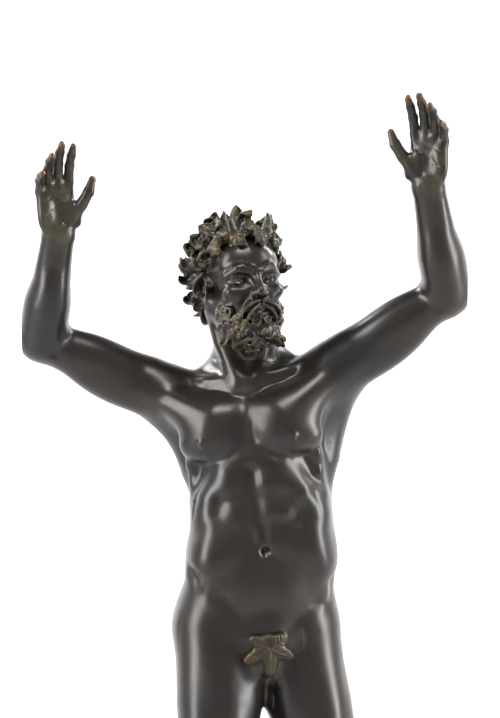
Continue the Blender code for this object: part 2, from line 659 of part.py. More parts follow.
LEAF_LOBES = ((0, 1.0, 20), (60, 0.92, 20), (-60, 0.92, 20), (120, 0.70, 20), (-120, 0.70, 20))
LEAF_HEART = 0.42
LEAF_LEAN = 8                       # degrees the leaf hangs askew
LEAF_HEIGHT_ON_SPINE = -1.5


def leaf_reach(angle):
    """How far the leaf reaches from its heart at an angle from its tip, as a share of a lobe."""
    bumps = [(reach - LEAF_HEART) * np.exp(-((angle - lobe) / wide) ** 2)
             for lobe, reach, wide in LEAF_LOBES]
    return LEAF_HEART + sum(bumps)


def make_leaf(collection, cutters, faun):
    """A five-lobed leaf with a ridge down each lobe, its back cut to the body behind it."""
    blade = bmesh.new()
    bmesh.ops.create_uvsphere(blade, u_segments=40, v_segments=8, radius=1.0)
    for vert in blade.verts:
        x, y, z = vert.co
        angle = np.degrees(np.arctan2(x, -y))
        reach = leaf_reach(angle)
        ridge = max(np.exp(-((angle - lobe) / 8) ** 2) for lobe, _, _ in LEAF_LOBES)
        swell = 0.6 + 0.4 * ridge if z > 0 else 1.0
        sag = LEAF_SAG_SIDE * (x * reach) ** 2 + LEAF_SAG_TIP * (y * reach) ** 2
        vert.co = (0.5 * LEAF_WIDTH * x * reach, 0.5 * LEAF_HEIGHT * y * reach,
                   LEAF_SWELL * z * swell - sag)
    mesh = bpy.data.meshes.new("fig_leaf")
    blade.to_mesh(mesh)
    blade.free()
    seat = spine_frame(LEAF_HEIGHT_ON_SPINE)
    front = unit(-seat.axes[:, 1] - 0.10 * seat.axes[:, 2])
    axes = np.eye(4)
    axes[:3, :3] = np.array([seat.axes[:, 0], np.cross(front, seat.axes[:, 0]), front]).T
    middle = figure_place() @ Matrix.Translation(tuple(seat.at(0.2, -12.2, 0)))
    place = Matrix.Translation(middle.to_translation()) @ Matrix(axes)
    mesh.transform(place @ Matrix.Rotation(np.radians(LEAF_LEAN), 4, "Z"))
    leaf = new_object("fig_leaf", mesh, collection)
    body = new_object("body_cutter", as_mesh(faun, "body_cutter"), cutters)
    grow = body.modifiers.new("clearance", "DISPLACE")
    grow.strength = CLEARANCE
    grow.mid_level = 0.0
    seat_cut = leaf.modifiers.new("seat", "BOOLEAN")
    seat_cut.operation = "DIFFERENCE"
    seat_cut.solver = "EXACT"
    seat_cut.object = body
    return leaf


FOOTPRINT = ((0.6, -28.0), (25.5, 1.5))     # the right foot's longest toe and the left's


def make_plinth(collection):
    """A turned plinth: a square foot, a hollow above it, a band and a bead round the top."""
    reach = max(np.hypot(*(np.array(toe) - FOOTING)) for toe in FOOTPRINT)
    rim = reach * UNIT + PLINTH_MARGIN
    bead_bottom = PLINTH_HEIGHT - 2 * PLINTH_BEAD
    hollow_top = PLINTH_FOOT + PLINTH_HOLLOW
    profile = [(0.0, PLINTH_HEIGHT)]
    for a in np.linspace(0, np.pi, 7):
        profile.append((rim - PLINTH_BEAD * (1 - np.sin(a)),
                        bead_bottom + PLINTH_BEAD * (1 + np.cos(a))))
    profile.append((rim - PLINTH_BEAD, bead_bottom - PLINTH_FILLET))
    profile.append((rim - PLINTH_HOLLOW, bead_bottom - PLINTH_FILLET))
    for a in np.linspace(0, np.pi / 2, 5):
        profile.append((rim - PLINTH_HOLLOW * np.cos(a), hollow_top - PLINTH_HOLLOW * np.sin(a)))
    profile += [(rim, 0.0), (0.0, 0.0)]
    outline = bpy.data.meshes.new("plinth")
    edges = [(i, i + 1) for i in range(len(profile) - 1)]
    outline.from_pydata([(x, 0, z) for x, z in profile], edges, [])
    plinth = new_object("plinth", outline, collection)
    turn = plinth.modifiers.new("turned", "SCREW")
    turn.steps = PLINTH_STEPS
    turn.render_steps = PLINTH_STEPS
    turn.use_merge_vertices = True
    turn.merge_threshold = 0.00001
    return plinth


def paint(thing, colour, roughness):
    material = bpy.data.materials.new(thing.name + "_bronze")
    material.use_nodes = True
    shader = material.node_tree.nodes["Principled BSDF"]
    shader.inputs["Base Color"].default_value = (*colour, 1.0)
    shader.inputs["Roughness"].default_value = roughness
    shader.inputs["Metallic"].default_value = 0.8
    thing.data.materials.append(material)


def new_collection(name):
    collection = bpy.data.collections.new(name)
    bpy.context.scene.collection.children.link(collection)
    return collection


for old in list(bpy.data.objects):
    bpy.data.objects.remove(old)
parts = new_collection("dancing_faun")
cutters = new_collection("cutters")
faun = make_faun(parts, cutters)
leaf = make_leaf(parts, cutters, faun)
plinth = make_plinth(parts)
paint(faun, BRONZE, 0.30)
paint(leaf, RUBBED_BRONZE, 0.40)
paint(plinth, BRONZE, 0.35)
for cutter in cutters.objects:
    cutter.hide_render = True
    cutter.display_type = "WIRE"
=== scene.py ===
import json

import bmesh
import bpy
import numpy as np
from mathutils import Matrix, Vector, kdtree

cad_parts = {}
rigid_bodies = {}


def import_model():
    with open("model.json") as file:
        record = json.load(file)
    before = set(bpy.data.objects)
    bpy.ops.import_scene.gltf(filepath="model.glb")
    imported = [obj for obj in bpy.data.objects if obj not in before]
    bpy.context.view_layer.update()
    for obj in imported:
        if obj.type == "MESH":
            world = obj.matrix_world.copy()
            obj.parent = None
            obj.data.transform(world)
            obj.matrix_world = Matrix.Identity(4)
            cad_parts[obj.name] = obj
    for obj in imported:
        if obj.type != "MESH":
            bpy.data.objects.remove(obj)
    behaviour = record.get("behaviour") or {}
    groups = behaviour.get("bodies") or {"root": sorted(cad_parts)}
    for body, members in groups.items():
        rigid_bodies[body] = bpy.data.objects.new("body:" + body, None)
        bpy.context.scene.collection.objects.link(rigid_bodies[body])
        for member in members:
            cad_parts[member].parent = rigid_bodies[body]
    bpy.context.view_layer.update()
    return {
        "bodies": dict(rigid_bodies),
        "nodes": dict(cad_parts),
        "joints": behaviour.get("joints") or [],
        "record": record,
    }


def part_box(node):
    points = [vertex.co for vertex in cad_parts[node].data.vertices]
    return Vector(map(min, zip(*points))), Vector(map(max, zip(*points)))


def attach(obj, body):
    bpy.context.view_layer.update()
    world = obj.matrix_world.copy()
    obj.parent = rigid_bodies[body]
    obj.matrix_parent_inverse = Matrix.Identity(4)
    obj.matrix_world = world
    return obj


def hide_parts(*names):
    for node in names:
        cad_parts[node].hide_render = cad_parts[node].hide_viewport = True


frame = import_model()

# A dancing faun in dark cast bronze: its turned plinth, the figure itself, and its fig leaf.
# Lengths are in metres except where the figure's own unit, a 180th of its stature, is named.

# The plinth
# A low round base, turned after casting: a square foot, a hollow, a flat band and a bead.
# It is bronze with the figure's dark patina, a little worn on the bead and the foot's edge.

PLINTH_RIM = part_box("plinth")[1][0]
PLINTH_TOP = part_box("plinth")[1][2]
PLINTH_FOOT = 0.006
PLINTH_HOLLOW = 0.004
PLINTH_BEAD = 0.0035
PLINTH_FILLET = 0.0015
EDGE_WEAR = 0.0005
PLINTH_STEPS = 192
SHARP_FROM = np.radians(40)


def arc(centre, radius, start, stop, steps):
    """Points of an arc in the profile's plane; angles are in degrees from +X."""
    angles = np.radians(np.linspace(start, stop, steps))
    return [(centre[0] + radius * np.cos(a), centre[1] + radius * np.sin(a)) for a in angles]


def plinth_profile():
    """The outer side from the middle of the top down to the middle of the underside."""
    bead_bottom = PLINTH_TOP - 2 * PLINTH_BEAD
    bead_middle = PLINTH_RIM - PLINTH_BEAD
    hollow_top = PLINTH_FOOT + PLINTH_HOLLOW
    neck = PLINTH_RIM - PLINTH_HOLLOW
    line = [(0.0, PLINTH_TOP), (0.5 * PLINTH_RIM, PLINTH_TOP), (0.85 * PLINTH_RIM, PLINTH_TOP)]
    line += arc((bead_middle, PLINTH_TOP - PLINTH_BEAD), PLINTH_BEAD, 90, -90, 17)
    line += [(bead_middle, bead_bottom - PLINTH_FILLET)]
    line += [(neck, bead_bottom - PLINTH_FILLET - EDGE_WEAR)]
    line += arc((PLINTH_RIM, hollow_top), PLINTH_HOLLOW, 180, 270, 13)
    line += arc((PLINTH_RIM - EDGE_WEAR, PLINTH_FOOT - EDGE_WEAR), EDGE_WEAR, 90, 0, 4)
    line += arc((PLINTH_RIM - EDGE_WEAR, EDGE_WEAR), EDGE_WEAR, 0, -90, 4)
    return line + [(0.0, 0.0)]


def placed(name, data):
    """A new object with this data, put into the scene."""
    thing = bpy.data.objects.new(name, data)
    bpy.context.scene.collection.objects.link(thing)
    return thing


def modified(piece):
    """A new mesh that has the piece's modifiers in it."""
    return bpy.data.meshes.new_from_object(piece.evaluated_get(bpy.context.evaluated_depsgraph_get()))


def turned_piece(name, profile, steps):
    mesh = bpy.data.meshes.new(name)
    joins = [(i, i + 1) for i in range(len(profile) - 1)]
    mesh.from_pydata([(x, 0, z) for x, z in profile], joins, [])
    piece = placed(name, mesh)
    screw = piece.modifiers.new("turned", "SCREW")
    screw.steps = steps
    screw.render_steps = steps
    screw.use_merge_vertices = True
    screw.merge_threshold = 0.00001
    solid = modified(piece)
    piece.modifiers.clear()
    piece.data = solid
    solid.shade_smooth()
    solid.set_sharp_from_angle(angle=SHARP_FROM)
    return piece


class Nodes:
    """A material's node tree, with short ways to add and join nodes."""

    def __init__(self, name):
        self.material = bpy.data.materials.new(name)
        self.material.use_nodes = True
        self.tree = self.material.node_tree
        self.shader = self.tree.nodes["Principled BSDF"]

    def link(self, source, target):
        if isinstance(source, bpy.types.NodeSocket):
            self.tree.links.new(source, target)
        else:
            target.default_value = source

    def join(self, node, inputs):
        """Joins or sets a node's inputs; in their names _ stands for a space."""
        for name, source in inputs.items():
            self.link(source, node.inputs[name.replace("_", " ")])
        return node

    def node(self, kind, **inputs):
        return self.join(self.tree.nodes.new("ShaderNode" + kind), inputs)

    def place(self, stretch=(1, 1, 1)):
        """Coordinates on the object, in metres, pressed or drawn out along its axes."""
        spot = self.node("TexCoord").outputs["Object"]
        return self.node("Mapping", Scale=stretch, Vector=spot).outputs["Vector"]

    def cloud(self, scale, detail, rough, stretch=(1, 1, 1)):
        """Soft noise, with so many spots to the metre."""
        return self.node("TexNoise", Scale=scale, Detail=detail, Roughness=rough,
                         Vector=self.place(stretch)).outputs["Fac"]

    def pits(self, scale):
        """Distance to the nearest of a scatter of spots."""
        return self.node("TexVoronoi", Scale=scale, Vector=self.place()).outputs["Distance"]

    def drawn(self, name):
        """A value that is stored on the mesh's points."""
        stored = self.node("Attribute")
        stored.attribute_name = name
        return stored.outputs["Fac"]

    def ramp(self, value, low, high, start=0.0, end=1.0):
        """Value from low to high, spread smoothly over start to end."""
        spread = self.node("MapRange", Value=value, From_Min=low, From_Max=high, To_Min=start, To_Max=end)
        spread.interpolation_type = "SMOOTHSTEP"
        return spread.outputs["Result"]

    def patches(self, scale, detail, rough, low, high, start=0.0, end=1.0):
        """Soft noise, spread smoothly over start to end."""
        return self.ramp(self.cloud(scale, detail, rough), low, high, start, end)

    def maths(self, kind, a, b):
        step = self.node("Math")
        step.operation = kind
        step.use_clamp = True
        self.link(a, step.inputs[0])
        self.link(b, step.inputs[1])
        return step.outputs[0]

    def times(self, a, b):
        return self.maths("MULTIPLY", a, b)

    def plus(self, a, b):
        return self.maths("ADD", a, b)

    def larger(self, a, b):
        return self.maths("MAXIMUM", a, b)

    def blend(self, share, a, b):
        """Colour a going over to colour b."""
        mix = self.node("Mix")
        mix.data_type = "RGBA"
        self.link(share, mix.inputs["Factor"])
        self.link(a if not isinstance(a, tuple) else (*a, 1.0), mix.inputs["A"])
        self.link(b if not isinstance(b, tuple) else (*b, 1.0), mix.inputs["B"])
        return next(s for s in mix.outputs if s.type == "RGBA")

    def bump(self, height, depth, strength=1.0, before=None):
        raised = self.node("Bump", Distance=depth, Strength=strength, Height=height)
        if before is not None:
            self.link(before, raised.inputs["Normal"])
        return raised.outputs["Normal"]

    def finished(self, **inputs):
        """The material, with the shader's inputs joined or set."""
        self.join(self.shader, inputs)
        return self.material


# The first of these, the patina's black, is also laid in the hair's hollows as painted shade.
PATINA_AND_SHADE_BLACK = (0.0105, 0.0088, 0.0080)
PATINA_BROWN = (0.030, 0.0165, 0.0115)
PATINA_OLIVE = (0.026, 0.020, 0.012)
RUBBED_METAL = (0.235, 0.160, 0.066)
RUBBED_DULL = (0.075, 0.060, 0.034)
DUST = (0.060, 0.055, 0.043)
PALM_METAL = (0.115, 0.105, 0.050)
TIP_METAL = (0.30, 0.140, 0.060)


def patina(nodes):
    """The dark patina's colour: black-brown, clouded with red-brown, thin and olive in places."""
    tone = nodes.patches(11.0, 5.0, 0.6, 0.42, 0.66, 0.0, 0.55)
    fine = nodes.patches(70.0, 4.0, 0.65, 0.45, 0.75, 0.0, 0.5)
    colour = nodes.blend(tone, PATINA_AND_SHADE_BLACK, PATINA_BROWN)
    return nodes.blend(nodes.times(fine, tone), colour, PATINA_OLIVE)


def plinth_bronze():
    nodes = Nodes("plinth_bronze")
    edge = nodes.ramp(nodes.drawn("edge"), 0.35, 0.95)
    worn = nodes.times(edge, nodes.patches(48.0, 5.0, 0.7, 0.42, 0.68))
    rings = nodes.cloud(1500.0, 2.0, 0.5, (0.02, 0.02, 1.0))
    grain = nodes.bump(nodes.cloud(900.0, 3.0, 0.6), 0.00006, 0.5)
    return nodes.finished(
        Base_Color=nodes.blend(worn, patina(nodes), RUBBED_DULL),
        Metallic=nodes.times(worn, 0.8),
        Roughness=nodes.patches(36.0, 6.0, 0.7, 0.3, 0.75, 0.26, 0.44),
        Coat_Weight=0.25,
        Coat_Roughness=0.18,
        Normal=nodes.bump(rings, 0.00005, 0.4, grain),
    )


def store(piece, name, values):
    """Keeps one number for each of the piece's points, for its material to read."""
    layer = piece.data.attributes.new(name, "FLOAT", "POINT")
    layer.data.foreach_set("value", np.asarray(values, np.float32))


plinth = turned_piece("turned_plinth", plinth_profile(), PLINTH_STEPS)
corners = np.array([v.co for v in plinth.data.vertices])
outer = np.hypot(corners[:, 0], corners[:, 1]) / PLINTH_RIM
store(plinth, "edge", np.clip((outer - 0.965) / 0.035, 0, 1))
plinth.data.materials.clear()
plinth.data.materials.append(plinth_bronze())
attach(plinth, "root")
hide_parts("plinth")

# The figure
# One hollow bronze casting, modelled in wax and chased after casting: the trunk and limbs are
# smoothed and polished under a dark patina, and the hair, beard and wreath are left crisp.

STATURE = 0.500
UNITS_TALL = 180
UNIT = STATURE / UNITS_TALL
FOOTING = np.array((3.5, -4.0))
SOLE_CUT = 0.5
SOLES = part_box("faun")[0][2]
SIDES = (-1, 1)                 # the faun's right, then its left
GRAIN = 0.19
FIGURE_TRIANGLES = 190000
SLAB_POINTS = 2.4e7             # grid points worked on at once
FAR = 1e3                       # depth where no mass is near


def unit(vector):
    vector = np.asarray(vector, float)
    return vector / np.linalg.norm(vector)


def turned(x=0.0, y=0.0, z=0.0):
    """Rotation by x, then y, then z degrees about the fixed axes."""
    rx, ry, rz = (Matrix.Rotation(np.radians(a), 3, n) for a, n in ((x, "X"), (y, "Y"), (z, "Z")))
    return np.array(rz @ ry @ rx)


def spun(vector, axis, angle):
    return np.array(Matrix.Rotation(angle, 3, tuple(axis))) @ vector


def scatter(index, kind):
    """A fixed number between -1 and 1 that differs for each lock and each use."""
    wave = np.sin(index * 12.9898 + kind * 78.233) * 43758.5453
    return 2 * (wave - np.floor(wave)) - 1


class Clay:
    """Masses laid on or cut away one after another, each softened into what stands already."""

    def __init__(self):
        self.masses = []

    def lump(self, centre, radii, axes=None, blend=1.0, cut=False):
        axes = np.eye(3) if axes is None else axes
        radii = np.broadcast_to(np.asarray(radii, float), 3)
        reach = np.sqrt(((axes * radii) ** 2).sum(1)) + blend
        shape = (self.lump_depth, np.asarray(centre, float), radii, axes)
        self.masses.append((shape, centre - reach, centre + reach, blend, cut))

    def strand(self, points, radii, blend=1.0, cut=False, flat=None):
        """A round run through the points, or one pressed flat along a direction."""
        points = np.asarray(points, float)
        radii = np.broadcast_to(np.asarray(radii, float), len(points))
        reach = (radii + blend)[:, None]
        shape = (self.strand_depth, points, radii, flat)
        self.masses.append((shape, (points - reach).min(0), (points + reach).max(0), blend, cut))

    @staticmethod
    def lump_depth(x, y, z, centre, radii, axes):
        x, y, z = x - centre[0], y - centre[1], z - centre[2]
        near, steep = 0.0, 1e-12
        for axis, radius in zip(axes.T, radii):
            part = (x * axis[0] + y * axis[1] + z * axis[2]) / radius
            near = near + part * part
            steep = steep + (part / radius) ** 2
        near = np.sqrt(near)
        return near * (near - 1) / np.sqrt(steep)

    @staticmethod
    def strand_depth(x, y, z, points, radii, flat):
        best = None
        for a, b, ra, rb in zip(points, points[1:], radii, radii[1:]):
            run = b - a
            px, py, pz = x - a[0], y - a[1], z - a[2]
            t = (px * run[0] + py * run[1] + pz * run[2]) / max(run @ run, 1e-12)
            t = np.clip(t, 0, 1)
            px, py, pz = px - t * run[0], py - t * run[1], pz - t * run[2]
            square = px * px + py * py + pz * pz
            if flat is not None:
                normal, squeeze = flat
                through = px * normal[0] + py * normal[1] + pz * normal[2]
                square = square + through * through * (squeeze * squeeze - 1)
            depth = np.sqrt(square) - (ra + (rb - ra) * t)
            best = depth if best is None else np.minimum(best, depth)
        return best

    @staticmethod
    def merge(old, new, blend, cut):
        """Old with new laid on or cut out, eased over a width of blend."""
        blend = max(blend, 1e-6)
        ease = np.maximum(blend - np.abs(old - (-new if cut else new)), 0)
        ease = ease * ease / (4 * blend)
        return np.maximum(old, -new) + ease if cut else np.minimum(old, new) - ease

    def depth(self, points):
        """How far each point lies outside the surface; inside it is negative."""
        depth = np.full(len(points), FAR)
        for (shape, *sizes), low, high, blend, cut in self.masses:
            near = np.flatnonzero(((points > low) & (points < high)).all(1))
            if len(near):
                new = shape(*points[near].T, *sizes)
                depth[near] = self.merge(depth[near], new, blend, cut)
        return depth

    def slab(self, size, low, count, axes, first, last):
        """Depths on the grid's levels from first to last."""
        depth = np.full((count[0], count[1], last - first + 1), FAR, np.float32)
        for (shape, *sizes), lowest, highest, blend, cut in self.masses:
            a = np.maximum(np.floor((lowest - low) / size).astype(int), 0)
            b = np.minimum(np.ceil((highest - low) / size).astype(int) + 1, count)
            a[2], b[2] = max(a[2], first) - first, min(b[2], last + 1) - first
            if (b <= a).any():
                continue
            box = tuple(slice(i, j) for i, j in zip(a, b))
            x, y, z = np.ix_(axes[0][box[0]], axes[1][box[1]], axes[2][first:last + 1][box[2]])
            new = shape(x, y, z, *sizes).astype(np.float32)
            depth[box] = self.merge(depth[box], new, np.float32(blend), cut)
        return depth

    def skin(self, size, ground):
        """Points, four-sided faces and outward normals of the surface, on a grid of that size."""
        laid = [m for m in self.masses if not m[4]]
        low = np.min([m[1] for m in laid], 0) - 2 * size
        high = np.max([m[2] for m in laid], 0) + 2 * size
        count = np.ceil((high - low) / size).astype(int) + 1
        axes = [(low[i] + size * np.arange(count[i])).astype(np.float32) for i in range(3)]
        stride = np.array([count[1] * count[2], count[2], 1], np.int64)
        layer = max(8, int(SLAB_POINTS / (count[0] * count[1])))
        corner_places = [(i, j, k) for i in (0, 1) for j in (0, 1) for k in (0, 1)]
        ids, points, normals, faces = [], [], [], []
        for first in range(0, count[2] - 1, layer):
            last = min(first + layer, count[2] - 1)
            depth = self.slab(size, low, count, axes, first, last)
            depth = np.maximum(depth, (ground - axes[2][first:last + 1])[None, None, :])
            inside = depth < 0
            cells = (count[0] - 1, count[1] - 1, last - first)
            full = sum(inside[tuple(slice(p, p + n) for p, n in zip(place, cells))].astype(np.int8)
                       for place in corner_places)
            cell = np.argwhere((full > 0) & (full < 8))
            corner = {p: depth[tuple((cell + p).T)] for p in corner_places}
            total, crossings = np.zeros((len(cell), 3)), np.zeros(len(cell))
            slope = np.zeros((len(cell), 3))
            for place, here in corner.items():
                for axis in range(3):
                    if place[axis]:
                        continue
                    beyond = corner[tuple(1 if n == axis else p for n, p in enumerate(place))]
                    slope[:, axis] += beyond - here
                    cross = (here < 0) != (beyond < 0)
                    spot = np.tile(np.array(place, float), (len(cell), 1))
                    spot[:, axis] = np.where(cross, here / np.where(cross, here - beyond, 1), 0)
                    total += spot * cross[:, None]
                    crossings += cross
            cell = cell + (0, 0, first)
            points.append(low + size * (cell + total / crossings[:, None]))
            normals.append(slope / np.maximum(np.linalg.norm(slope, axis=1), 1e-9)[:, None])
            ids.append(cell @ stride)
            levels = last - first + (1 if last == count[2] - 1 else 0)
            for axis in range(3):
                here, beyond = [slice(None)] * 3, [slice(None)] * 3
                here[axis], beyond[axis] = slice(0, -1), slice(1, None)
                if axis != 2:
                    here[2] = beyond[2] = slice(0, levels)
                edge = np.argwhere(inside[tuple(here)] != inside[tuple(beyond)])
                leaving = inside[tuple(here)][tuple(edge.T)]
                base = (edge + (0, 0, first)) @ stride
                u, v = stride[(axis + 1) % 3], stride[(axis + 2) % 3]
                face = np.stack([base - u - v, base - v, base, base - u], 1)
                face[~leaving] = face[~leaving][:, ::-1]
                faces.append(face)
        ids = np.concatenate(ids)
        order = np.argsort(ids)
        faces = order[np.searchsorted(ids[order], np.concatenate(faces))]
        return np.concatenate(points), faces, np.concatenate(normals)


class Frame:
    """A place with its own axes and size, in which masses are given by x, y and z."""

    def __init__(self, origin, axes, size=1.0):
        self.origin = np.asarray(origin, float)
        self.axes = axes
        self.size = size

    def at(self, x, y, z):
        return self.origin + self.axes @ np.array((x, y, z), float) * self.size


class Bone:
    """A straight stretch of limb: t runs along it, front and side stand off it."""

    def __init__(self, start, end, front):
        self.start = np.asarray(start, float)
        self.run = np.asarray(end, float) - self.start
        self.along = unit(self.run)
        front = np.asarray(front, float)
        self.front = unit(front - self.along * (front @ self.along))
        self.side = np.cross(self.along, self.front)
        self.axes = np.array([self.front, self.side, self.along]).T

    def at(self, t, front=0.0, side=0.0):
        return self.start + self.run * t + self.front * front + self.side * side


def muscles(clay, bone, out, shapes):
    """Lumps by a bone: each is how far along, in front and to the side, its radii and blend."""
    for t, front, side, radii, blend in shapes:
        clay.lump(bone.at(t, front, side * out), radii, bone.axes, blend)


# The figure's pose: the hips turn a little to its left, the chest back to its right

HIPS = np.array((0.0, 0.0, 93.0))
HIP_TURN = turned(x=4, y=4, z=12)
CHEST_TURN = turned(x=-7, y=-6, z=-8)
BEND_FROM = 6.0
BEND_TO = 32.0
SPINE_STEP = 0.5
UPPER_ARM = 31.0
FOREARM = 25.0


def spine_axes(height):
    """The trunk's axes at a height above the hips."""
    share = np.clip((height - BEND_FROM) / (BEND_TO - BEND_FROM), 0, 1)
    hips, chest = (Matrix(turn).to_quaternion() for turn in (HIP_TURN, CHEST_TURN))
    return np.array(hips.slerp(chest, float(share * share * (3 - 2 * share))).to_matrix())


def spine_frame(height):
    steps = max(1, int(round(abs(height) / SPINE_STEP)))
    rise = height / steps
    middles = (np.arange(steps) + 0.5) * rise
    return Frame(HIPS + sum(spine_axes(m)[:, 2] for m in middles) * rise, spine_axes(height))


def trunk(x, y, z):
    """A point of the trunk: x to its left, y to its back, z along the spine above the hips."""
    return spine_frame(z).at(x, y, 0)


RIGHT_SHOULDER = trunk(-17.0, 0.8, 50.0)
LEFT_SHOULDER = trunk(16.6, 0.8, 51.5)
RIGHT_ELBOW = RIGHT_SHOULDER + UPPER_ARM * unit((-0.80, -0.20, 0.40))
RIGHT_WRIST = RIGHT_ELBOW + FOREARM * unit((0.16, -0.40, 0.90))
LEFT_ELBOW = LEFT_SHOULDER + UPPER_ARM * unit((0.74, -0.18, 0.56))
LEFT_WRIST = LEFT_ELBOW + FOREARM * unit((-0.18, -0.38, 0.90))

FACING = unit((0.34, -0.91, 0.20))
CROWN = np.array((-0.10, 0.18, 0.98))
CROWN = unit(CROWN - FACING * (CROWN @ FACING))
HEAD = Frame(
    trunk(0, 2.5, 54.5) + np.array((-2.0, -4.4, 18.4)),
    np.array([np.cross(-FACING, CROWN), -FACING, CROWN]).T,
)


# The trunk, worked from rib cage and hips out to the muscles, then the furrows between them

def model_trunk(clay):
    def lump(x, y, z, radii, blend, turn=(0, 0, 0), cut=False):
        place = spine_frame(z)
        clay.lump(place.at(x, y, 0), radii, place.axes @ turned(*turn), blend, cut)

    def strand(points, radii, blend, cut=False):
        clay.strand([trunk(*p) for p in points], radii, blend, cut)

    lump(0, 0.8, 43, (12.8, 9.8, 13.0), 1)
    lump(0, 0.0, 34, (13.4, 10.0, 11.5), 4)
    lump(0, 0.2, 22, (12.6, 9.0, 11.0), 5)
    lump(0, 0.6, 9, (14.0, 9.6, 11.5), 5)
    for s in SIDES:
        # buttock and hip
        lump(7.4 * s, 6.4, 0.4, (8.2, 7.6, 8.8), 3.0)
        lump(10.6 * s, 1.4, 4.0, (5.4, 7.4, 9.8), 5.0)
        # muscles beside the spine and under the arm
        strand([(3.4 * s, 7.0, 7), (3.6 * s, 6.6, 20), (3.8 * s, 8.0, 34), (3.4 * s, 8.0, 46)],
               (2.6, 2.7, 2.5, 1.8), 2.5)
        strand([(13.4 * s, 2.8, 44), (13.2 * s, 3.4, 35), (10.6 * s, 5.0, 24)], (4.2, 3.7, 2.4), 4)
        for i in range(4):
            lump((12.9 - 0.3 * i) * s, -4.4 + 1.3 * i, 38.5 - 3.8 * i, (1.5, 3.3, 1.5), 2.4,
                 (-28, 0, 22 * s))
        # flank
        lump(10.4 * s, -0.8, 20.0, (3.8, 7.4, 7.4), 6.0)
        lump(10.7 * s, -1.6, 15.8, (3.8, 7.0, 4.6), 4.8, (14, -8 * s, 0))
    lump(0, -5.9, 9.5, (10.0, 3.9, 9.0), 4)
    lump(0, -7.4, 1.2, (5.6, 3.6, 4.4), 2.5)
    lump(0, -8.2, -4.4, (2.9, 3.0, 3.6), 2.5)
    for s in SIDES:
        # the arch of the ribs, and the straight muscle in its three steps
        strand([(1.4 * s, -7.7, 36.6), (5.0 * s, -7.8, 33.2), (8.8 * s, -6.2, 28.4),
                (10.8 * s, -3.2, 24.0)], (2.1, 2.5, 2.6, 2.0), 3.6)
        for z, y, radii in ((30.4, -8.2, (3.5, 2.3, 3.0)), (25.0, -8.1, (3.7, 2.4, 3.0)),
                            (19.6, -8.0, (3.8, 2.6, 3.2))):
            lump(3.4 * s, y, z, radii, 2.2)
        lump(3.3 * s, -7.7, 12.0, (3.7, 2.5, 6.4), 2.6)
        lump(7.2 * s, -6.3, 18.4, (4.2, 3.4, 4.4), 3.4)
    for s in SIDES:
        # breast
        lump(7.2 * s, -7.1, 43.4, (8.0, 4.0, 6.4), 2.2, (-8, 10 * s, 12 * s))
        lump(8.4 * s, -8.0, 40.2, (5.8, 3.4, 3.6), 2.2, (0, 6 * s, 14 * s))
        lump(9.6 * s, -11.4, 39.6, (0.75, 0.6, 0.75), 0.7)
    # furrows down the breast, belly and back, the navel, and the lines of the groin
    strand([(0, -10.9, 50), (0, -12.5, 44), (0, -12.4, 38)], (0.4, 0.7, 0.9), 2.6, True)
    strand([(0, -11.3, 33), (0, -11.3, 26), (0, -11.1, 20)], (0.5, 0.5, 0.4), 2.2, True)
    lump(0, -10.9, 17.6, (0.8, 1.8, 0.9), 1.0, cut=True)
    strand([(0, 10.6, 6), (0, 10.2, 20), (0, 11.4, 36), (0, 11.4, 50)],
           (0.8, 1.0, 0.9, 0.7), 2.8, True)
    strand([(0, 11.2, 5), (0, 14.2, 0), (0, 13, -8)], (0.2, 0.6, 0.8), 1.4, True)
    for s in SIDES:
        strand([(15.4 * s, -3.4, 12.2), (13.6 * s, -7.0, 9.8), (10.4 * s, -9.9, 6.8),
                (5.2 * s, -11.4, 1.6)], (0.2, 0.6, 0.8, 0.4), 2.8, True)
        lump(11.3 * s, -5.7, 9.8, (1.8, 1.6, 2.2), 2.0)


# Shoulders, arms and hands

def model_shoulder(clay, s, shoulder, elbow, blade_out, blade_turn):
    chest = spine_frame(50).axes
    notch = trunk(1.6 * s, -7.2, 52.0)
    top = shoulder + chest @ np.array((-1.2 * s, 0.2, 3.4))
    middle = (notch + top) / 2 + chest @ np.array((0, -1.7, 0.2))
    nape = chest @ np.array((-1.6 * s, 0.4, -2.2))
    clay.strand([trunk(9.5 * s, 1.0, 45), shoulder], (7.0, 5.0), 3.0)
    clay.strand([trunk(2.4 * s, 3.0, 57.5), trunk(7.5 * s, 2.0, 53.5), top + nape],
                (4.4, 4.5, 3.2), 4.5)
    clay.strand([notch, middle, top], (1.0, 0.9, 1.2), 3.2)
    clay.lump(trunk(blade_out * s, 8.0, 43.5), (5.8, 2.5, 8.2),
              spine_frame(44).axes @ turned(y=blade_turn * s, z=-12 * s), 2.6)
    clay.strand([trunk(6.5 * s, 8.6, 45.5), trunk(11 * s, 8.0, 50),
                 top + chest @ np.array((0, 2.0, -1))], 1.6, 2.6)
    outward = elbow - shoulder
    clay.strand([trunk(13.2 * s, 5.4, 38),
                 shoulder + outward * 0.24 + chest @ np.array((-1.2 * s, 2.0, -1.8))], (3.4, 2.8), 3.2)
    clay.strand([trunk(7.5 * s, -7.4, 44),
                 shoulder + outward * 0.18 + chest @ np.array((-1.2 * s, -2.4, -0.5))], (4.6, 2.9), 2.8)


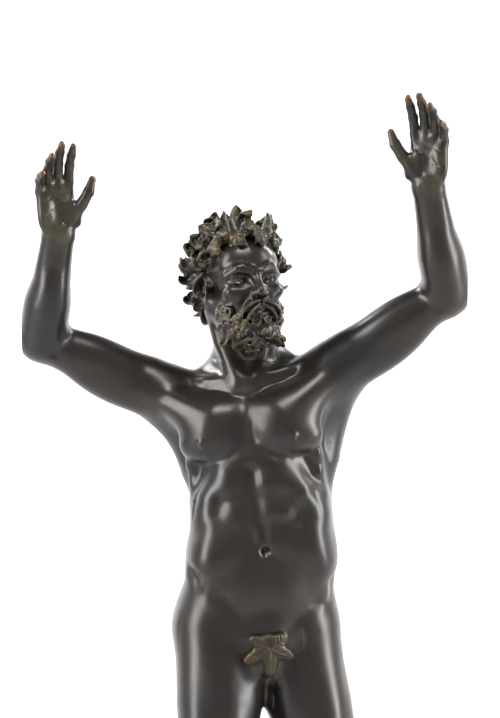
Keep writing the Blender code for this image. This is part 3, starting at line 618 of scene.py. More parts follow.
def model_arm(clay, shoulder, elbow, wrist, outer, palm):
    upper = Bone(shoulder, elbow, wrist - elbow)
    out = unit(outer - upper.along * (outer @ upper.along))
    cap = np.array([out, np.cross(upper.along, out), upper.along]).T
    clay.strand([upper.at(0), upper.at(0.5), upper.at(1)], (5.7, 5.0, 4.4), 3.0)
    clay.lump(upper.at(0.12) + out * 1.5, (5.4, 6.3, 8.4), cap, 2.6)
    clay.lump(upper.at(0.30) + out * 2.0, (3.6, 4.1, 7.0), cap, 2.6)
    muscles(clay, upper, 1, (
        (0.55, 2.2, 0.0, (3.8, 4.2, 9.6), 1.9), (0.46, -2.3, 1.2, (3.6, 3.5, 10.0), 1.8),
        (0.44, -2.0, -1.8, (3.6, 3.4, 10.2), 1.8)))
    # the point of the elbow and its two knobs
    clay.lump(elbow + unit(upper.along - unit(wrist - elbow)) * 1.6, 2.8, None, 1.8)
    for side in (-2.8, 2.8):
        clay.lump(upper.at(0.97, 0.1, side), 1.75, None, 1.8)
    # forearm: muscles below the elbow, two bones at the wrist
    lower = Bone(elbow, wrist, palm)
    hinge = Bone(elbow, wrist, -upper.along)
    clay.strand([lower.at(0), lower.at(0.35), lower.at(0.75), lower.at(1)], (4.4, 4.6, 3.3, 2.6), 2.4)
    muscles(clay, hinge, 1, (
        (0.22, 0.2, 2.2, (3.6, 3.4, 9.4), 2.2), (0.27, 0.3, -2.2, (3.6, 3.4, 9.8), 2.2),
        (0.20, -1.5, 0.0, (3.2, 3.4, 8.2), 2.2)))
    for side in (-1, 1):
        clay.strand([lower.at(0.62, 0, side), lower.at(0.99, 0, 1.4 * side)], (2.3, 1.95), 1.2)


HAND_SIZE = 1.08
KNUCKLES = ((3.05, 0.1, 9.0), (1.05, -0.1, 9.5), (-0.95, -0.05, 9.1), (-2.85, 0.15, 8.2))
FINGER_LENGTHS = (7.4, 8.2, 7.6, 6.0)
FINGER_RADII = (0.93, 0.95, 0.90, 0.80)
THUMB = ((2.2, 0.9, 2.0), (4.5, 1.9, 4.6), (6.0, 2.6, 7.0), (6.9, 2.8, 9.2))


def model_hand(clay, s, wrist, along, palm, curls, spreads):
    """An open hand: curls are each finger's three bends, in degrees, from the forefinger on."""
    along = unit(along)
    palm = unit(palm - along * (palm @ along))
    inward = np.cross(along, palm) * -s
    hand = Frame(wrist, np.array([inward, palm, along]).T, HAND_SIZE)
    k = HAND_SIZE
    for side in (-1.2, 1.2):
        clay.strand([hand.at(side, 0, -1), hand.at(side * 1.3, -0.1, 2.5)], (1.7 * k, 1.5 * k), 1.2)
    for x, y, z in KNUCKLES:
        clay.strand([hand.at(x * 0.45, 0, 1.5), hand.at(x, y, z)], (1.25 * k, 1.05 * k), 1.0)
        clay.strand([hand.at(x * 0.45, -1.1, 2.5), hand.at(x, -0.95, z - 0.8)], (0.25, 0.35), 0.8)
    clay.lump(hand.at(0.1, 0.1, 5.6), (3.9, 1.35, 4.5), hand.axes, 1.0)
    tips = []
    clay.lump(hand.at(-2.6, 0.75, 4.0), (1.6, 1.3, 3.9), hand.axes @ turned(y=6), 0.9)
    clay.lump(hand.at(2.5, 0.9, 3.4), (1.8, 1.5, 3.6), hand.axes @ turned(y=-24), 0.9)
    for knuckle, length, radius, bends, spread in zip(
            KNUCKLES, FINGER_LENGTHS, FINGER_RADII, curls, spreads):
        heading = np.cos(np.radians(spread)) * along + np.sin(np.radians(spread)) * inward
        points = [hand.at(*knuckle)]
        for share, bend in zip((0.44, 0.31, 0.25), np.radians(np.cumsum(bends))):
            way = np.cos(bend) * heading + np.sin(bend) * palm
            points.append(points[-1] + k * length * share * way)
        widths = k * radius * np.array((1.1, 0.98, 0.9, 0.72))
        clay.strand(points, widths, 0.35)
        for i in (1, 2):
            clay.lump(points[i], widths[i] * 1.1, None, 0.3)
        tips.append(points[3])
        # the nail lies on the back of the last joint
        back = unit(np.cross(points[3] - points[2], np.cross(points[3] - points[2], palm)))
        nail = points[2] * 0.28 + points[3] * 0.72 + back * widths[3] * 0.72
        clay.strand([nail, nail + (points[3] - points[2]) * 0.38], (0.5 * k, 0.48 * k), 0.08,
                    flat=(back, 2.0))
    thumb = [hand.at(*p) for p in THUMB]
    clay.strand(thumb, (1.2 * k, 1.2 * k, 1.02 * k, 0.76 * k), 1.0)
    clay.lump(thumb[2], 1.15 * k, None, 0.3)
    # the creases across the palm
    for a, b, c in (((2.9, 1.55, 6.6), (0.6, 1.5, 5.9), (-2.6, 1.9, 3.6)),
                    ((3.0, 1.5, 7.8), (0.4, 1.45, 7.4), (-3.2, 1.7, 6.2)),
                    ((2.4, 1.9, 6.9), (0.7, 1.9, 4.4), (0.7, 1.8, 1.2))):
        clay.strand([hand.at(*a), hand.at(*b), hand.at(*c)], 0.10, 0.35, True)
    return tips + [thumb[3]], hand.at(0, 0, 7), palm


# Legs and feet

def model_leg(clay, hip, knee, ankle, toe_way, outside):
    """Thigh and shin. outside is 1 where the bone's own side axis points out of the body."""
    along = unit(knee - hip)
    thigh = Bone(hip, knee, np.cross(along, np.cross(toe_way, along)))
    out = outside * np.sign(thigh.side @ HIP_TURN[:, 0])
    clay.strand([thigh.at(0.02), thigh.at(0.35), thigh.at(0.75), thigh.at(1)],
                (8.9, 8.4, 6.3, 5.3), 4.0)
    muscles(clay, thigh, out, (
        (0.42, 2.8, 0.3, (5.5, 5.5, 15.6), 2.0), (0.45, 0.6, 4.3, (5.8, 4.1, 16.6), 1.8),
        (0.74, 1.9, -3.4, (3.4, 2.9, 6.3), 1.5), (0.28, 0.4, -4.4, (5.9, 4.7, 12.6), 2.5),
        (0.46, -3.7, 1.9, (4.7, 4.1, 17.3), 2.6), (0.46, -3.7, -2.1, (4.7, 4.1, 17.3), 2.6)))
    clay.lump(knee + thigh.front * 3.2 + thigh.along * 0.5, (2.6, 2.6, 3.0), thigh.axes, 1.4)
    for side in (-1.7, 1.7):
        clay.lump(knee + thigh.front * 2.4 + thigh.side * side + thigh.along * 4.0, 1.3, None, 1.6)
    shin = Bone(knee, ankle, toe_way)
    clay.strand([shin.at(0), shin.at(0.3), shin.at(0.7), shin.at(1)], (4.9, 4.5, 3.2, 2.9), 2.6)
    clay.strand([shin.at(0.08, 2.6), shin.at(0.5, 1.8), shin.at(0.92, 0.7)], (1.7, 1.3, 1.2), 1.6)
    muscles(clay, shin, out, (
        (0.27, -2.6, -1.9, (3.8, 3.4, 9.2), 2.0), (0.25, -2.4, 1.9, (3.6, 3.2, 8.6), 2.0),
        (0.44, -1.2, 0.0, (3.0, 3.9, 9.0), 1.8)))
    clay.strand([shin.at(0.6, -2.6), shin.at(0.96, -3.2)], (1.7, 1.0), 1.4)
    clay.lump(shin.at(0.99, 0.1, 2.7 * out), (1.5, 1.2, 1.5), None, 1.0)
    clay.lump(shin.at(0.965, 0.3, -2.7 * out), (1.5, 1.2, 1.5), None, 1.0)


TOE_REACH = (5.6, 5.4, 5.0, 4.5, 3.9)


def model_foot(clay, s, ankle, heel, ball, toe_way):
    """A foot from the heel to the ball, with its toes lying on the ground along toe_way."""
    inner = unit(np.cross(toe_way, (0, 0, 1))) * -s
    instep = ankle * 0.5 + heel * 0.5 + toe_way * 2
    clay.lump(heel, 2.8, None, 2.2)
    clay.strand([ankle, heel], (3.0, 2.7), 2.4)
    for x, r0, r1 in ((2.6, 2.4, 1.75), (0.0, 2.6, 1.8), (-2.5, 2.2, 1.55)):
        clay.strand([instep - inner * x * 0.3, ball + inner * x], (r0, r1), 1.8)
    clay.strand([ankle + toe_way * 1.5, (ankle + ball) / 2 + inner + (0, 0, 0.6)], (2.6, 2.2), 2.0)
    for i, reach in enumerate(TOE_REACH):
        radius = 1.3 if i == 0 else 0.95 - 0.05 * i
        root = ball + inner * (3.0 - 1.55 * i - (0.35 if i else 0)) + toe_way * (0.2 - 0.27 * i)
        tip = root + toe_way * (reach * 0.86 - 0.2 * i)
        middle = (root + tip) / 2
        tip[2] = radius * 0.95
        middle[2] = max(middle[2], radius + 0.45)
        clay.strand([root, middle, tip], (radius * 1.05, radius, radius * 0.95), 0.7)
        clay.strand([ankle * 0.25 + ball * 0.75 + inner * (1.6 - 0.8 * i) + (0, 0, 2.0),
                     root + (0, 0, 1.3)], (0.3, 0.35), 1.0)
        nail = tip + toe_way * 0.1 + (0, 0, radius * 0.66)
        clay.strand([nail - toe_way * 0.2, nail + toe_way * 0.35], radius * 0.52, 0.08,
                    flat=(unit(toe_way * 0.35 + (0, 0, 1)), 2.0))


# The head, in its own frame: x to its left, y to its back, z to its crown, from between the eyes

SKULL_CENTRE = np.array((0, 1.6, 3.6))
SKULL_RADII = np.array((7.5, 9.4, 8.0))


def on_shell(centre, radii, turn, rise):
    """A point of an ellipsoid and its outward normal, by turn from the face and rise."""
    t, r = np.radians((turn, rise))
    way = np.array((np.sin(t) * np.cos(r), -np.cos(t) * np.cos(r), np.sin(r)))
    return centre + way * radii, unit(way / radii)


class Within:
    """Passes masses on from a frame's own places and ways."""

    def __init__(self, clay, frame):
        self.clay = clay
        self.frame = frame

    def lump(self, point, radii, blend=1.0, turn=(0, 0, 0), cut=False):
        self.clay.lump(self.frame.at(*point), radii, self.frame.axes @ turned(*turn), blend, cut)

    def strand(self, points, radii, blend=1.0, cut=False, flat=None):
        if flat is not None:
            flat = (self.frame.axes @ flat[0], flat[1])
        self.clay.strand([self.frame.at(*p) for p in points], radii, blend, cut, flat)


def model_neck(clay):
    base = trunk(0, 1.2, 51)
    clay.strand([base, (base + HEAD.at(0, 3.6, -4.5)) / 2, HEAD.at(0, 1.0, -3.0)],
                (7.2, 6.5, 6.4), 3.5)
    for s in SIDES:
        middle = (trunk(3.6 * s, -4.2, 56) + HEAD.at(5.6 * s, 1.2, -6)) / 2
        clay.strand([trunk(1.5 * s, -7.0, 52.0), middle, HEAD.at(6.0 * s, 2.4, -3.0)],
                    (1.2, 2.0, 2.1), 2.2)
    clay.lump((trunk(0, -5.8, 56) + HEAD.at(0, -4.5, -9)) / 2, (1.7, 1.7, 2.4), None, 1.8)


def model_face(head):
    head.lump(SKULL_CENTRE, SKULL_RADII)
    head.lump((0, -4.0, -2.5), (6.1, 5.2, 8.6), 2.5)
    head.lump((0, -4.6, 4.6), (6.3, 4.2, 4.6), 2)
    head.lump((0, -7.4, -9.6), (2.6, 2.2, 2.2), 1.8)
    for s in SIDES:
        # jaw, cheekbone, eye socket and brow
        head.strand([(5.9 * s, 0.6, -4.5), (4.9 * s, -3.8, -9.0), (1.6 * s, -7.6, -10.6)],
                    (1.9, 1.7, 1.6), 1.8)
        head.lump((4.6 * s, -6.3, -2.2), (2.1, 2.0, 1.5), 1.4)
        head.lump((3.3 * s, -9.3, 0.1), (2.0, 1.9, 1.35), 1.2, cut=True)
        head.strand([(5.6 * s, -6.2, 1.3), (3.7 * s, -8.5, 2.45), (1.2 * s, -9.1, 1.7)],
                    (0.75, 1.0, 0.8), 1.0)
        # eye, with its two lids and a shallow pupil
        head.lump((3.15 * s, -6.95, 0.0), (1.35, 1.35, 1.35), 0.15)
        head.lump((3.2 * s, -8.42, 0.22), (0.42, 0.42, 0.42), 0.12, cut=True)
        for high, low, radius in ((0.86, 0.05, 0.27), (-0.68, -0.1, 0.22)):
            lid = []
            for t in np.linspace(0.0, np.pi, 9):
                x, z = 1.72 * np.cos(t), low + high * np.sin(t) + 0.12 * np.cos(t)
                out = np.sqrt(max(1.5 ** 2 - (0.82 * x) ** 2 - z * z, 0.16))
                lid.append((3.15 * s + x * s, -6.9 - out, z))
            head.strand(lid, np.full(9, radius), 0.3)
        # eyebrow, in three strands side by side
        for k in range(3):
            up = 0.42 * k
            head.strand([(1.3 * s, -9.75 + 0.25 * k, 1.75 + up), (2.9 * s, -9.35 + 0.25 * k, 2.75 + up),
                         (4.6 * s, -8.0 + 0.25 * k, 2.55 + up), (5.9 * s, -6.5 + 0.2 * k, 1.5 + up)],
                        (0.3, 0.34, 0.28, 0.1), 0.22)
    # nose
    head.strand([(0, -8.6, 2.0), (0, -9.9, -0.8), (0, -11.1, -2.7)], (0.85, 0.85, 0.95), 1.0)
    head.lump((0, -10.9, -3.1), (1.1, 1.0, 0.85), 0.6)
    for s in SIDES:
        head.lump((1.25 * s, -9.7, -3.2), (0.8, 1.15, 0.8), 0.6)
        head.lump((0.75 * s, -10.3, -4.0), (0.42, 0.55, 0.5), 0.3, cut=True)
        head.strand([(1.9 * s, -9.2, -2.9), (3.3 * s, -8.0, -5.2)], (0.35, 0.3), 1.1, True)
    # parted lips
    head.lump((0, -8.6, -6.4), (3.0, 1.6, 2.0), 1.2)
    head.strand([(-2.2, -8.7, -6.6), (-0.9, -9.9, -6.1), (0, -9.95, -6.25), (0.9, -9.9, -6.1),
                 (2.2, -8.7, -6.6)], (0.3, 0.45, 0.4, 0.45, 0.3), 0.5)
    head.strand([(-2.0, -8.7, -7.1), (0, -9.9, -7.4), (2.0, -8.7, -7.1)], (0.35, 0.62, 0.35), 0.5)
    head.strand([(-2.3, -9.1, -6.8), (0, -10.5, -6.75), (2.3, -9.1, -6.8)], (0.12, 0.26, 0.12),
                0.35, True)
    for s in SIDES:
        # ear, drawn out to a point
        rim = [(7.0, -0.2, -2.9), (7.9, 1.6, -2.4), (8.5, 2.9, 0.2), (9.0, 3.9, 3.6),
               (8.6, 2.4, 3.0), (7.7, 0.4, 2.2), (7.1, -0.4, 0.4)]
        head.lump((7.6 * s, 1.3, 0.0), (0.8, 2.0, 3.0), 0.7, (-18, 0, 22 * s))
        head.lump((8.6 * s, 0.9, 0.3), (0.9, 1.2, 2.0), 0.5, (-18, 0, 22 * s), True)
        head.strand([(x * s, y, z) for x, y, z in rim], (0.6, 0.55, 0.55, 0.3, 0.5, 0.55, 0.45), 0.35)
        head.strand([(7.5 * s, -0.1, 1.2), (8.0 * s, 1.3, 0.6), (8.0 * s, 1.6, -1.2)],
                    (0.32, 0.36, 0.25), 0.4)


def lock_line(root, heading, normal, length, twist, curl, steps):
    """The middle line of a lock that leaves the head along heading and rolls up at its end."""
    heading = unit(heading - normal * (heading @ normal) * 0.55)
    axis = unit(np.cross(heading, normal))
    axis = unit(axis * np.cos(twist) + normal * np.sin(twist))
    way = unit(heading + normal * 0.35)
    line = [root]
    for share in (np.arange(steps) + 1) / steps:
        way = spun(way, axis, curl * (0.25 + 1.75 * share) / steps)
        line.append(line[-1] + way * length / steps * (1.25 - 0.7 * share))
    return np.array(line), axis


def ribbed_lock(head, line, axis, thick, ribs, blend):
    """A lock chased into ribs that lie side by side across it and meet at its end."""
    run = np.gradient(line, axis=0)
    run /= np.linalg.norm(run, axis=1)[:, None]
    across = axis - run * (run @ axis)[:, None]
    across /= np.linalg.norm(across, axis=1)[:, None]
    taper = thick * np.interp(np.linspace(0, 1, len(line)), (0, 0.3, 0.75, 1), (0.8, 1.0, 0.8, 0.3))
    for k in range(ribs):
        off = (2 * k / (ribs - 1) - 1) * 0.85
        radius = taper * 1.26 / ribs * (1.12 - 0.18 * abs(off))
        head.strand(line + across * (off * taper)[:, None], radius, blend)


# two layers of hair, the lower one first: where its random draws start, the rises of its rows,
# spacing in degrees, roll, length and its spread, how far it stands off, thickness and ribs
HAIR_LAYERS = (
    (5000, (84, 66, 50, 35, 20, 5, -10, -24, -38), 15.0, 1.5, 6.5, 0.9, 0.0, 1.1, 3),
    (0, (86, 68, 51, 34, 16, -2, -20, -36), 21.0, 2.7, 7.5, 1.0, 0.6, 1.3, 4),
)
LOCK_STEPS = 9


def hairline(turn):
    """How high up the skull the hair starts, by the turn from the face."""
    return np.interp(abs(turn), (0, 40, 62, 78, 90, 104), (50, 42, 22, -2, -14, -60))


def hair_way(turn, rise):
    """Where a lock is combed to: up over the brow, back at the sides and down behind."""
    out = np.sin(np.radians(turn))
    if rise > 45 and abs(turn) < 75:
        return np.array((out, 0.25, 0.9))
    if abs(turn) < 100:
        return np.array((0.3 * out, 1.0, -0.15))
    return np.array((0.6 * out, 0.45, -0.8))


def model_hair(head):
    """A base, a layer of locks lying close, a freer layer with rolled ends, and brow curls."""
    head.lump((0, 2.4, 4.0), (7.8, 8.7, 7.7), 0.6)
    head.lump((0, 5.8, -1.5), (6.6, 5.6, 6.4))
    for first, rises, spacing, rolled, long, spread, stand, thick, ribs in HAIR_LAYERS:
        for row, rise in enumerate(rises):
            count = max(4, round(360 * np.cos(np.radians(rise)) / spacing))
            for i in range(count):
                index = 100 * row + i + first
                turn = -180 + 360 * (i + 0.5 * (row % 2)) / count + 5 * scatter(index, 1)
                lift = rise + 4 * scatter(index, 2)
                if lift < hairline(turn):
                    continue
                root, normal = on_shell(SKULL_CENTRE, SKULL_RADII, turn, lift)
                way = hair_way(turn, lift)
                way = way + np.cross(normal, way) * 0.7 * scatter(index, 3)
                roll = np.sign(scatter(index, 4)) * (rolled + 0.9 * scatter(index, 5))
                twist = np.sign(scatter(index, 6)) * (0.75 + 0.55 * scatter(index, 7))
                length = long + spread * scatter(index, 8)
                line, axis = lock_line(root + normal * stand, way, normal, length, twist, roll, LOCK_STEPS)
                ribbed_lock(head, line, axis, thick, ribs, 0.08)
    for row, rise in enumerate((46, 38)):
        for i in range(11 - row):
            index = 6000 + 100 * row + i
            turn = (i - 5 + 0.5 * row) * 12 + 3 * scatter(index, 1)
            root, normal = on_shell(SKULL_CENTRE, SKULL_RADII, turn, rise - 0.14 * abs(turn))
            way = np.array((0.5 * scatter(index, 3) + np.sin(np.radians(turn)), 0.1, 0.8))
            roll = np.sign(scatter(index, 4)) * (3.2 + 0.8 * scatter(index, 5))
            twist = 1.2 * scatter(index, 7)
            line, axis = lock_line(root + normal * 0.2, way, normal, 4.6, twist, roll, 8)
            ribbed_lock(head, line, axis, 0.78, 3, 0.12)


BEARD_CENTRE = np.array((0, -2.2, -6.4))
BEARD_RADII = np.array((6.3, 6.6, 6.4))
BEARD_ROWS = ((20, 14, 72), (2, 15, 50), (-18, 14, 20), (-38, 12, 0), (-58, 9, 0), (-78, 5, 0))
CHIN_LOCKS = 15
# the moustache's three locks on each side, and half the tuft under the lip, for the left side:
# root, heading, normal, length, roll and thickness
MOUTH_LOCKS = (
    ((0.4, -9.8, -4.6), (1.0, 0.80, -0.35), (0.35, -1.0, 0.1), 6.4, -1.2, 1.25),
    ((0.4, -9.7, -5.3), (1.0, 0.75, -0.80), (0.35, -1.0, 0.0), 5.8, -0.9, 1.15),
    ((1.8, -8.9, -5.6), (0.9, 0.90, -0.55), (0.55, -1.0, 0.0), 5.2, -1.0, 1.20),
    ((0.5, -9.0, -8.0), (0.25, -0.35, -1.0), (0.1, -1.0, -0.2), 4.2, 1.8, 1.00),
)


def snail_curl(head, centre, normal, first, radius, turns, thick, way):
    """A strand wound in on itself, standing off the skin at its middle."""
    right = unit(first - normal * (first @ normal))
    up = np.cross(normal, right) * way
    share = np.linspace(0, 1, 12)
    angle = 2 * np.pi * turns * share
    wide = radius * (1 - 0.78 * share)
    path = centre + np.outer(wide * np.cos(angle), right) + np.outer(wide * np.sin(angle), up)
    path = path + np.outer(0.12 + 0.55 * share, normal) * radius
    head.strand(path, thick * (0.75 + 0.35 * np.sin(np.pi * np.minimum(1, share * 1.3))), 0.1)


def model_beard(head):
    """Snail curls in rows round the jaw, locks below the chin, a moustache and a tuft."""
    for row, (rise, count, gap) in enumerate(BEARD_ROWS):
        size = 1.0 + 0.06 * row
        for i in range(count):
            index = 1000 + 100 * row + i
            turn = -106 + 212 * (i + 0.5) / count + 3 * scatter(index, 1)
            if abs(turn) < gap:
                continue
            point, normal = on_shell(BEARD_CENTRE, BEARD_RADII, turn, rise + 3 * scatter(index, 2))
            grow = 0.035 * row * max(0, np.cos(np.radians(turn)))
            first = spun(np.cross(normal, (0.01, 0, 1.0)), normal, np.pi * scatter(index, 3))
            snail_curl(head, point + (point - BEARD_CENTRE) * grow, normal, first,
                       1.30 * size * (1 + 0.12 * scatter(index, 5)), 1.5 + 0.2 * scatter(index, 6),
                       0.38 * size, np.sign(scatter(index, 4)))
    for i in range(CHIN_LOCKS):
        index = 2000 + i
        turn = np.radians(-84 + 168 * (i + 0.5) / CHIN_LOCKS)
        out = np.array((np.sin(turn), -np.cos(turn), 0))
        root = BEARD_CENTRE + out * (5.2, 6.6, 0) + (0, 0, -4.6 + 0.8 * (i % 2))
        roll = np.sign(scatter(index, 4)) * (2.8 + 0.8 * scatter(index, 5))
        line, axis = lock_line(root, np.array((0.15 * out[0], -0.25, -1.0)), unit(out - (0, 0, 0.4)),
                               4.3 + 0.7 * scatter(index, 6), 1.2 * scatter(index, 7), roll, LOCK_STEPS)
        ribbed_lock(head, line, axis, 1.0, 3, 0.14)
    for s in SIDES:
        for *ways, length, roll, thick in MOUTH_LOCKS:
            root, heading, normal = np.array(ways) * (s, 1, 1)
            line, axis = lock_line(root, heading, unit(normal), length, 1.25 * s, roll, LOCK_STEPS)
            ribbed_lock(head, line, axis, thick, 4, 0.08)


WREATH_CENTRE = np.array((0, 1.8, 6.4))
WREATH_RADII = (8.3, 10.0)
WREATH_TILT = np.radians(-22)
WREATH_LEAVES = 22
BERRY_KNOTS = 7
IVY_LOBES = ((0, 1.0, 0.25), (48, 0.80, 0.19), (-48, 0.80, 0.19), (104, 0.56, 0.16), (-104, 0.56, 0.16))


def wreath_point(angle, out=0.0, up=0.0):
    x, y = np.sin(angle) * (WREATH_RADII[0] + out), -np.cos(angle) * (WREATH_RADII[1] + out)
    tilt, rise = np.cos(WREATH_TILT), np.sin(WREATH_TILT)
    return WREATH_CENTRE + np.array((x, y * tilt - up * rise, y * rise + up * tilt))


def wreath_ways(angle):
    """Along the wreath, and out from it."""
    here = wreath_point(angle)
    return unit(wreath_point(angle + 0.05) - here), unit(wreath_point(angle, 1.0) - here)


def ivy_leaf(head, heart, tip_way, normal, size):
    """Flat pointed lobes round the leaf's heart, bent back at their tips, each with a rib."""
    tip_way = unit(tip_way - normal * (tip_way @ normal))
    lobes = [(spun(tip_way, normal, np.radians(angle)) * size * reach, reach, wide)
             for angle, reach, wide in IVY_LOBES]
    for out, reach, wide in lobes:
        middle = heart + out * 0.4 + normal * 0.03 * size
        tip = heart + out * 0.82 - normal * 0.24 * size * reach
        head.strand([heart, middle, tip], size * wide * np.array((0.75, 0.9, 0.08)), 0.08,
                    flat=(normal, 3.4))
    for out, reach, wide in lobes:
        up = normal * size * wide * 0.28
        middle = heart + out * 0.4 + normal * 0.03 * size
        tip = heart + out * 0.68 - normal * 0.17 * size * reach
        rib = size * np.array((0.055, 0.045, 0.02))
        head.strand([heart + up, middle + up, tip + up * 0.5], rib, 0.12)


def model_wreath(head):
    """Two vines twisted together, ivy leaves up and down by turns, and knots of berries."""
    for phase in (0, np.pi):
        path = [wreath_point(a, 0.35 * np.cos(9 * a + phase), 0.35 * np.sin(9 * a + phase))
                for a in np.linspace(0, 2 * np.pi, 61)]
        head.strand(path, np.full(61, 0.42), 0.2)
    for i in range(WREATH_LEAVES):
        index = 3000 + i
        angle = 2 * np.pi * (i + 0.5) / WREATH_LEAVES
        along, out = wreath_ways(angle)
        across = np.cross(out, along)
        across = across * np.sign(across[2]) * (1 if i % 2 else -1)
        size = 3.9 + 0.45 * scatter(index, 1)
        way = unit(0.9 * across + (0.55 + 0.35 * scatter(index, 2)) * along + 0.25 * out)
        normal = unit(out + 0.2 * scatter(index, 3) * along + 0.35 * across)
        ivy_leaf(head, wreath_point(angle, 0.7) + way * size * 0.3, way, normal, size)
    for i in range(BERRY_KNOTS):
        angle = 2 * np.pi * (i + 0.15) / BERRY_KNOTS
        along, out = wreath_ways(angle)
        knot = wreath_point(angle, 1.1, 0.6 * scatter(4000 + i, 1))
        for k in range(6):
            turn = k * np.pi / 3
            spot = knot + 0.66 * (np.cos(turn) * along + np.sin(turn) * np.cross(out, along))
            head.lump(spot, (0.46, 0.46, 0.46), 0.08)
        head.lump(knot + 0.4 * out, (0.5, 0.5, 0.5), 0.08)


def point_on(line, share):
    """The place on a line of four points at a share, which counts its steps."""
    return np.array([np.interp(share, range(4), line[:, k]) for k in range(3)]).T


def model_horns(head):
    """Two short goat's horns, ringed near the root."""
    for s in SIDES:
        line = np.array([(3.2 * s, -6.2, 8.6), (3.8 * s, -7.6, 10.6), (4.3 * s, -7.9, 12.6),
                         (4.6 * s, -7.2, 14.0)])
        radii = np.array((1.25, 1.05, 0.75, 0.32))
        head.strand(line, radii, 0.4)
        for share in np.arange(0.5, 2.4, 0.24):
            spot = point_on(line, share)
            ahead = unit(point_on(line, share + 0.1) - spot)
            thick = np.interp(share, range(4), radii)
            head.lump(spot, (thick * 1.1, thick * 1.1, 0.16), 0.1, ring_turn(ahead))


def ring_turn(way):
    """The turns about x, y and z that bring the z axis to a direction."""
    return np.degrees(Vector(way).to_track_quat("Z", "Y").to_euler())


def model_tail(clay):
    """A short goat's tail: a core with locks twisted round it, parted at the tip."""
    core = [trunk(0, 8.6, 8.0), trunk(0.6, 13.0, 8.4), trunk(1.0, 16.6, 10.6), trunk(0.4, 18.6, 14.6)]
    clay.strand(core, (2.1, 1.7, 1.1, 0.3), 1.2)
    share = np.linspace(0.25, 3, 12)
    middle = point_on(np.array(core), share)
    run = np.gradient(middle, axis=0)
    run /= np.linalg.norm(run, axis=1)[:, None]
    side = np.cross(run, (0, 0, 1.0))
    up = np.cross(side, run)
    for k in range(6):
        angle = k * np.pi / 3 + share * 0.9
        stand = np.interp(share, (0, 1, 2.6, 3), (1.6, 1.35, 0.95, 0.45))[:, None]
        path = middle + (side * np.cos(angle)[:, None] + up * np.sin(angle)[:, None]) * stand
        clay.strand(path, np.interp(share, (0, 1, 2.5, 3), (0.5, 0.75, 0.6, 0.25)), 0.25)


# The whole figure, in the order in which it is built up

def model_body(clay):
    model_trunk(clay)
    model_shoulder(clay, -1, RIGHT_SHOULDER, RIGHT_ELBOW, 10.4, -18)
    model_shoulder(clay, 1, LEFT_SHOULDER, LEFT_ELBOW, 10.6, -20)
    model_arm(clay, RIGHT_SHOULDER, RIGHT_ELBOW, RIGHT_WRIST,
              np.array((-0.35, 0.1, 0.93)), np.array((0.3, -1.0, 0.1)))
    model_arm(clay, LEFT_SHOULDER, LEFT_ELBOW, LEFT_WRIST,
              np.array((0.30, 0.1, 0.93)), np.array((-0.3, -1.0, 0.1)))
    right_way, left_way = unit((0.25, -0.97, 0)), unit((0.55, -0.84, 0))
    right_ankle, left_ankle = np.array((-4.0, -7.0, 9.0)), np.array((15.0, 18.0, 16.5))
    model_leg(clay, trunk(-8.8, 0, 0), np.array((-7.5, -12.0, 51.5)), right_ankle, right_way, -1)
    model_leg(clay, trunk(8.8, 0, 0), np.array((15.5, -4.0, 50.5)), left_ankle, left_way, 1)
    model_foot(clay, -1, right_ankle, np.array((-4.6, -5.2, 2.8)), np.array((-0.8, -21.0, 2.0)),
               right_way)
    model_foot(clay, 1, left_ankle, np.array((12.9, 20.6, 11.6)), np.array((21.5, 7.5, 2.2)),
               left_way)
    model_neck(clay)


def model_hands(clay):
    """Models both hands and returns, for each, its fingertips, its middle and the palm's way."""
    curls = ((10, 14, 8), (14, 18, 10), (20, 24, 14), (26, 30, 16))
    spreads = (7, 2, -3, -9)
    right = model_hand(clay, -1, RIGHT_WRIST, np.array((-0.10, -0.16, 1.0)), np.array((0.45, -1.0, 0.1)),
                       curls, spreads)
    left = model_hand(clay, 1, LEFT_WRIST, np.array((0.04, -0.14, 1.0)), np.array((-0.45, -1.0, 0.1)),
                      curls, spreads)
    return right, left


FIGURE_SHIFT = np.array((-FOOTING[0] * UNIT, -FOOTING[1] * UNIT, SOLES - SOLE_CUT * UNIT))
RELIEF = 0.7                    # how far off the surface hollows and ridges are felt for
TIP_REACH = 1.5                 # how far the rub on a fingertip reaches
PALM_REACH = 12                 # how far the bare palm reaches from its middle
PALM_FADE = 3

clay = Clay()
model_body(clay)
hands = model_hands(clay)
head = Within(clay, HEAD)
model_face(head)
skin_masses = len(clay.masses)
model_tail(clay)
model_hair(head)
model_beard(head)
hair_masses = len(clay.masses)
model_wreath(head)
model_horns(head)


def lightened(points, faces, triangles):
    """The surface with flat stretches thinned out to that many triangles."""
    mesh = bpy.data.meshes.new("dense")
    mesh.from_pydata(points, [], faces)
    piece = placed("dense", mesh)
    thin = piece.modifiers.new("thin", "DECIMATE")
    thin.ratio = min(1.0, triangles / (2 * len(faces)))
    result = modified(piece)
    bpy.data.objects.remove(piece)
    return result


def keep_largest_shell(mesh):
    """Takes away the pockets closed in between the locks."""
    work = bmesh.new()
    work.from_mesh(mesh)
    unseen = set(work.verts)
    shells = []
    while unseen:
        edge = [unseen.pop()]
        shell = list(edge)
        while edge:
            vert = edge.pop()
            for side in vert.link_edges:
                other = side.other_vert(vert)
                if other in unseen:
                    unseen.remove(other)
                    edge.append(other)
                    shell.append(other)
        shells.append(shell)
    shells.sort(key=len)
    bmesh.ops.delete(work, geom=[v for shell in shells[:-1] for v in shell], context="VERTS")
    work.to_mesh(mesh)
    work.free()


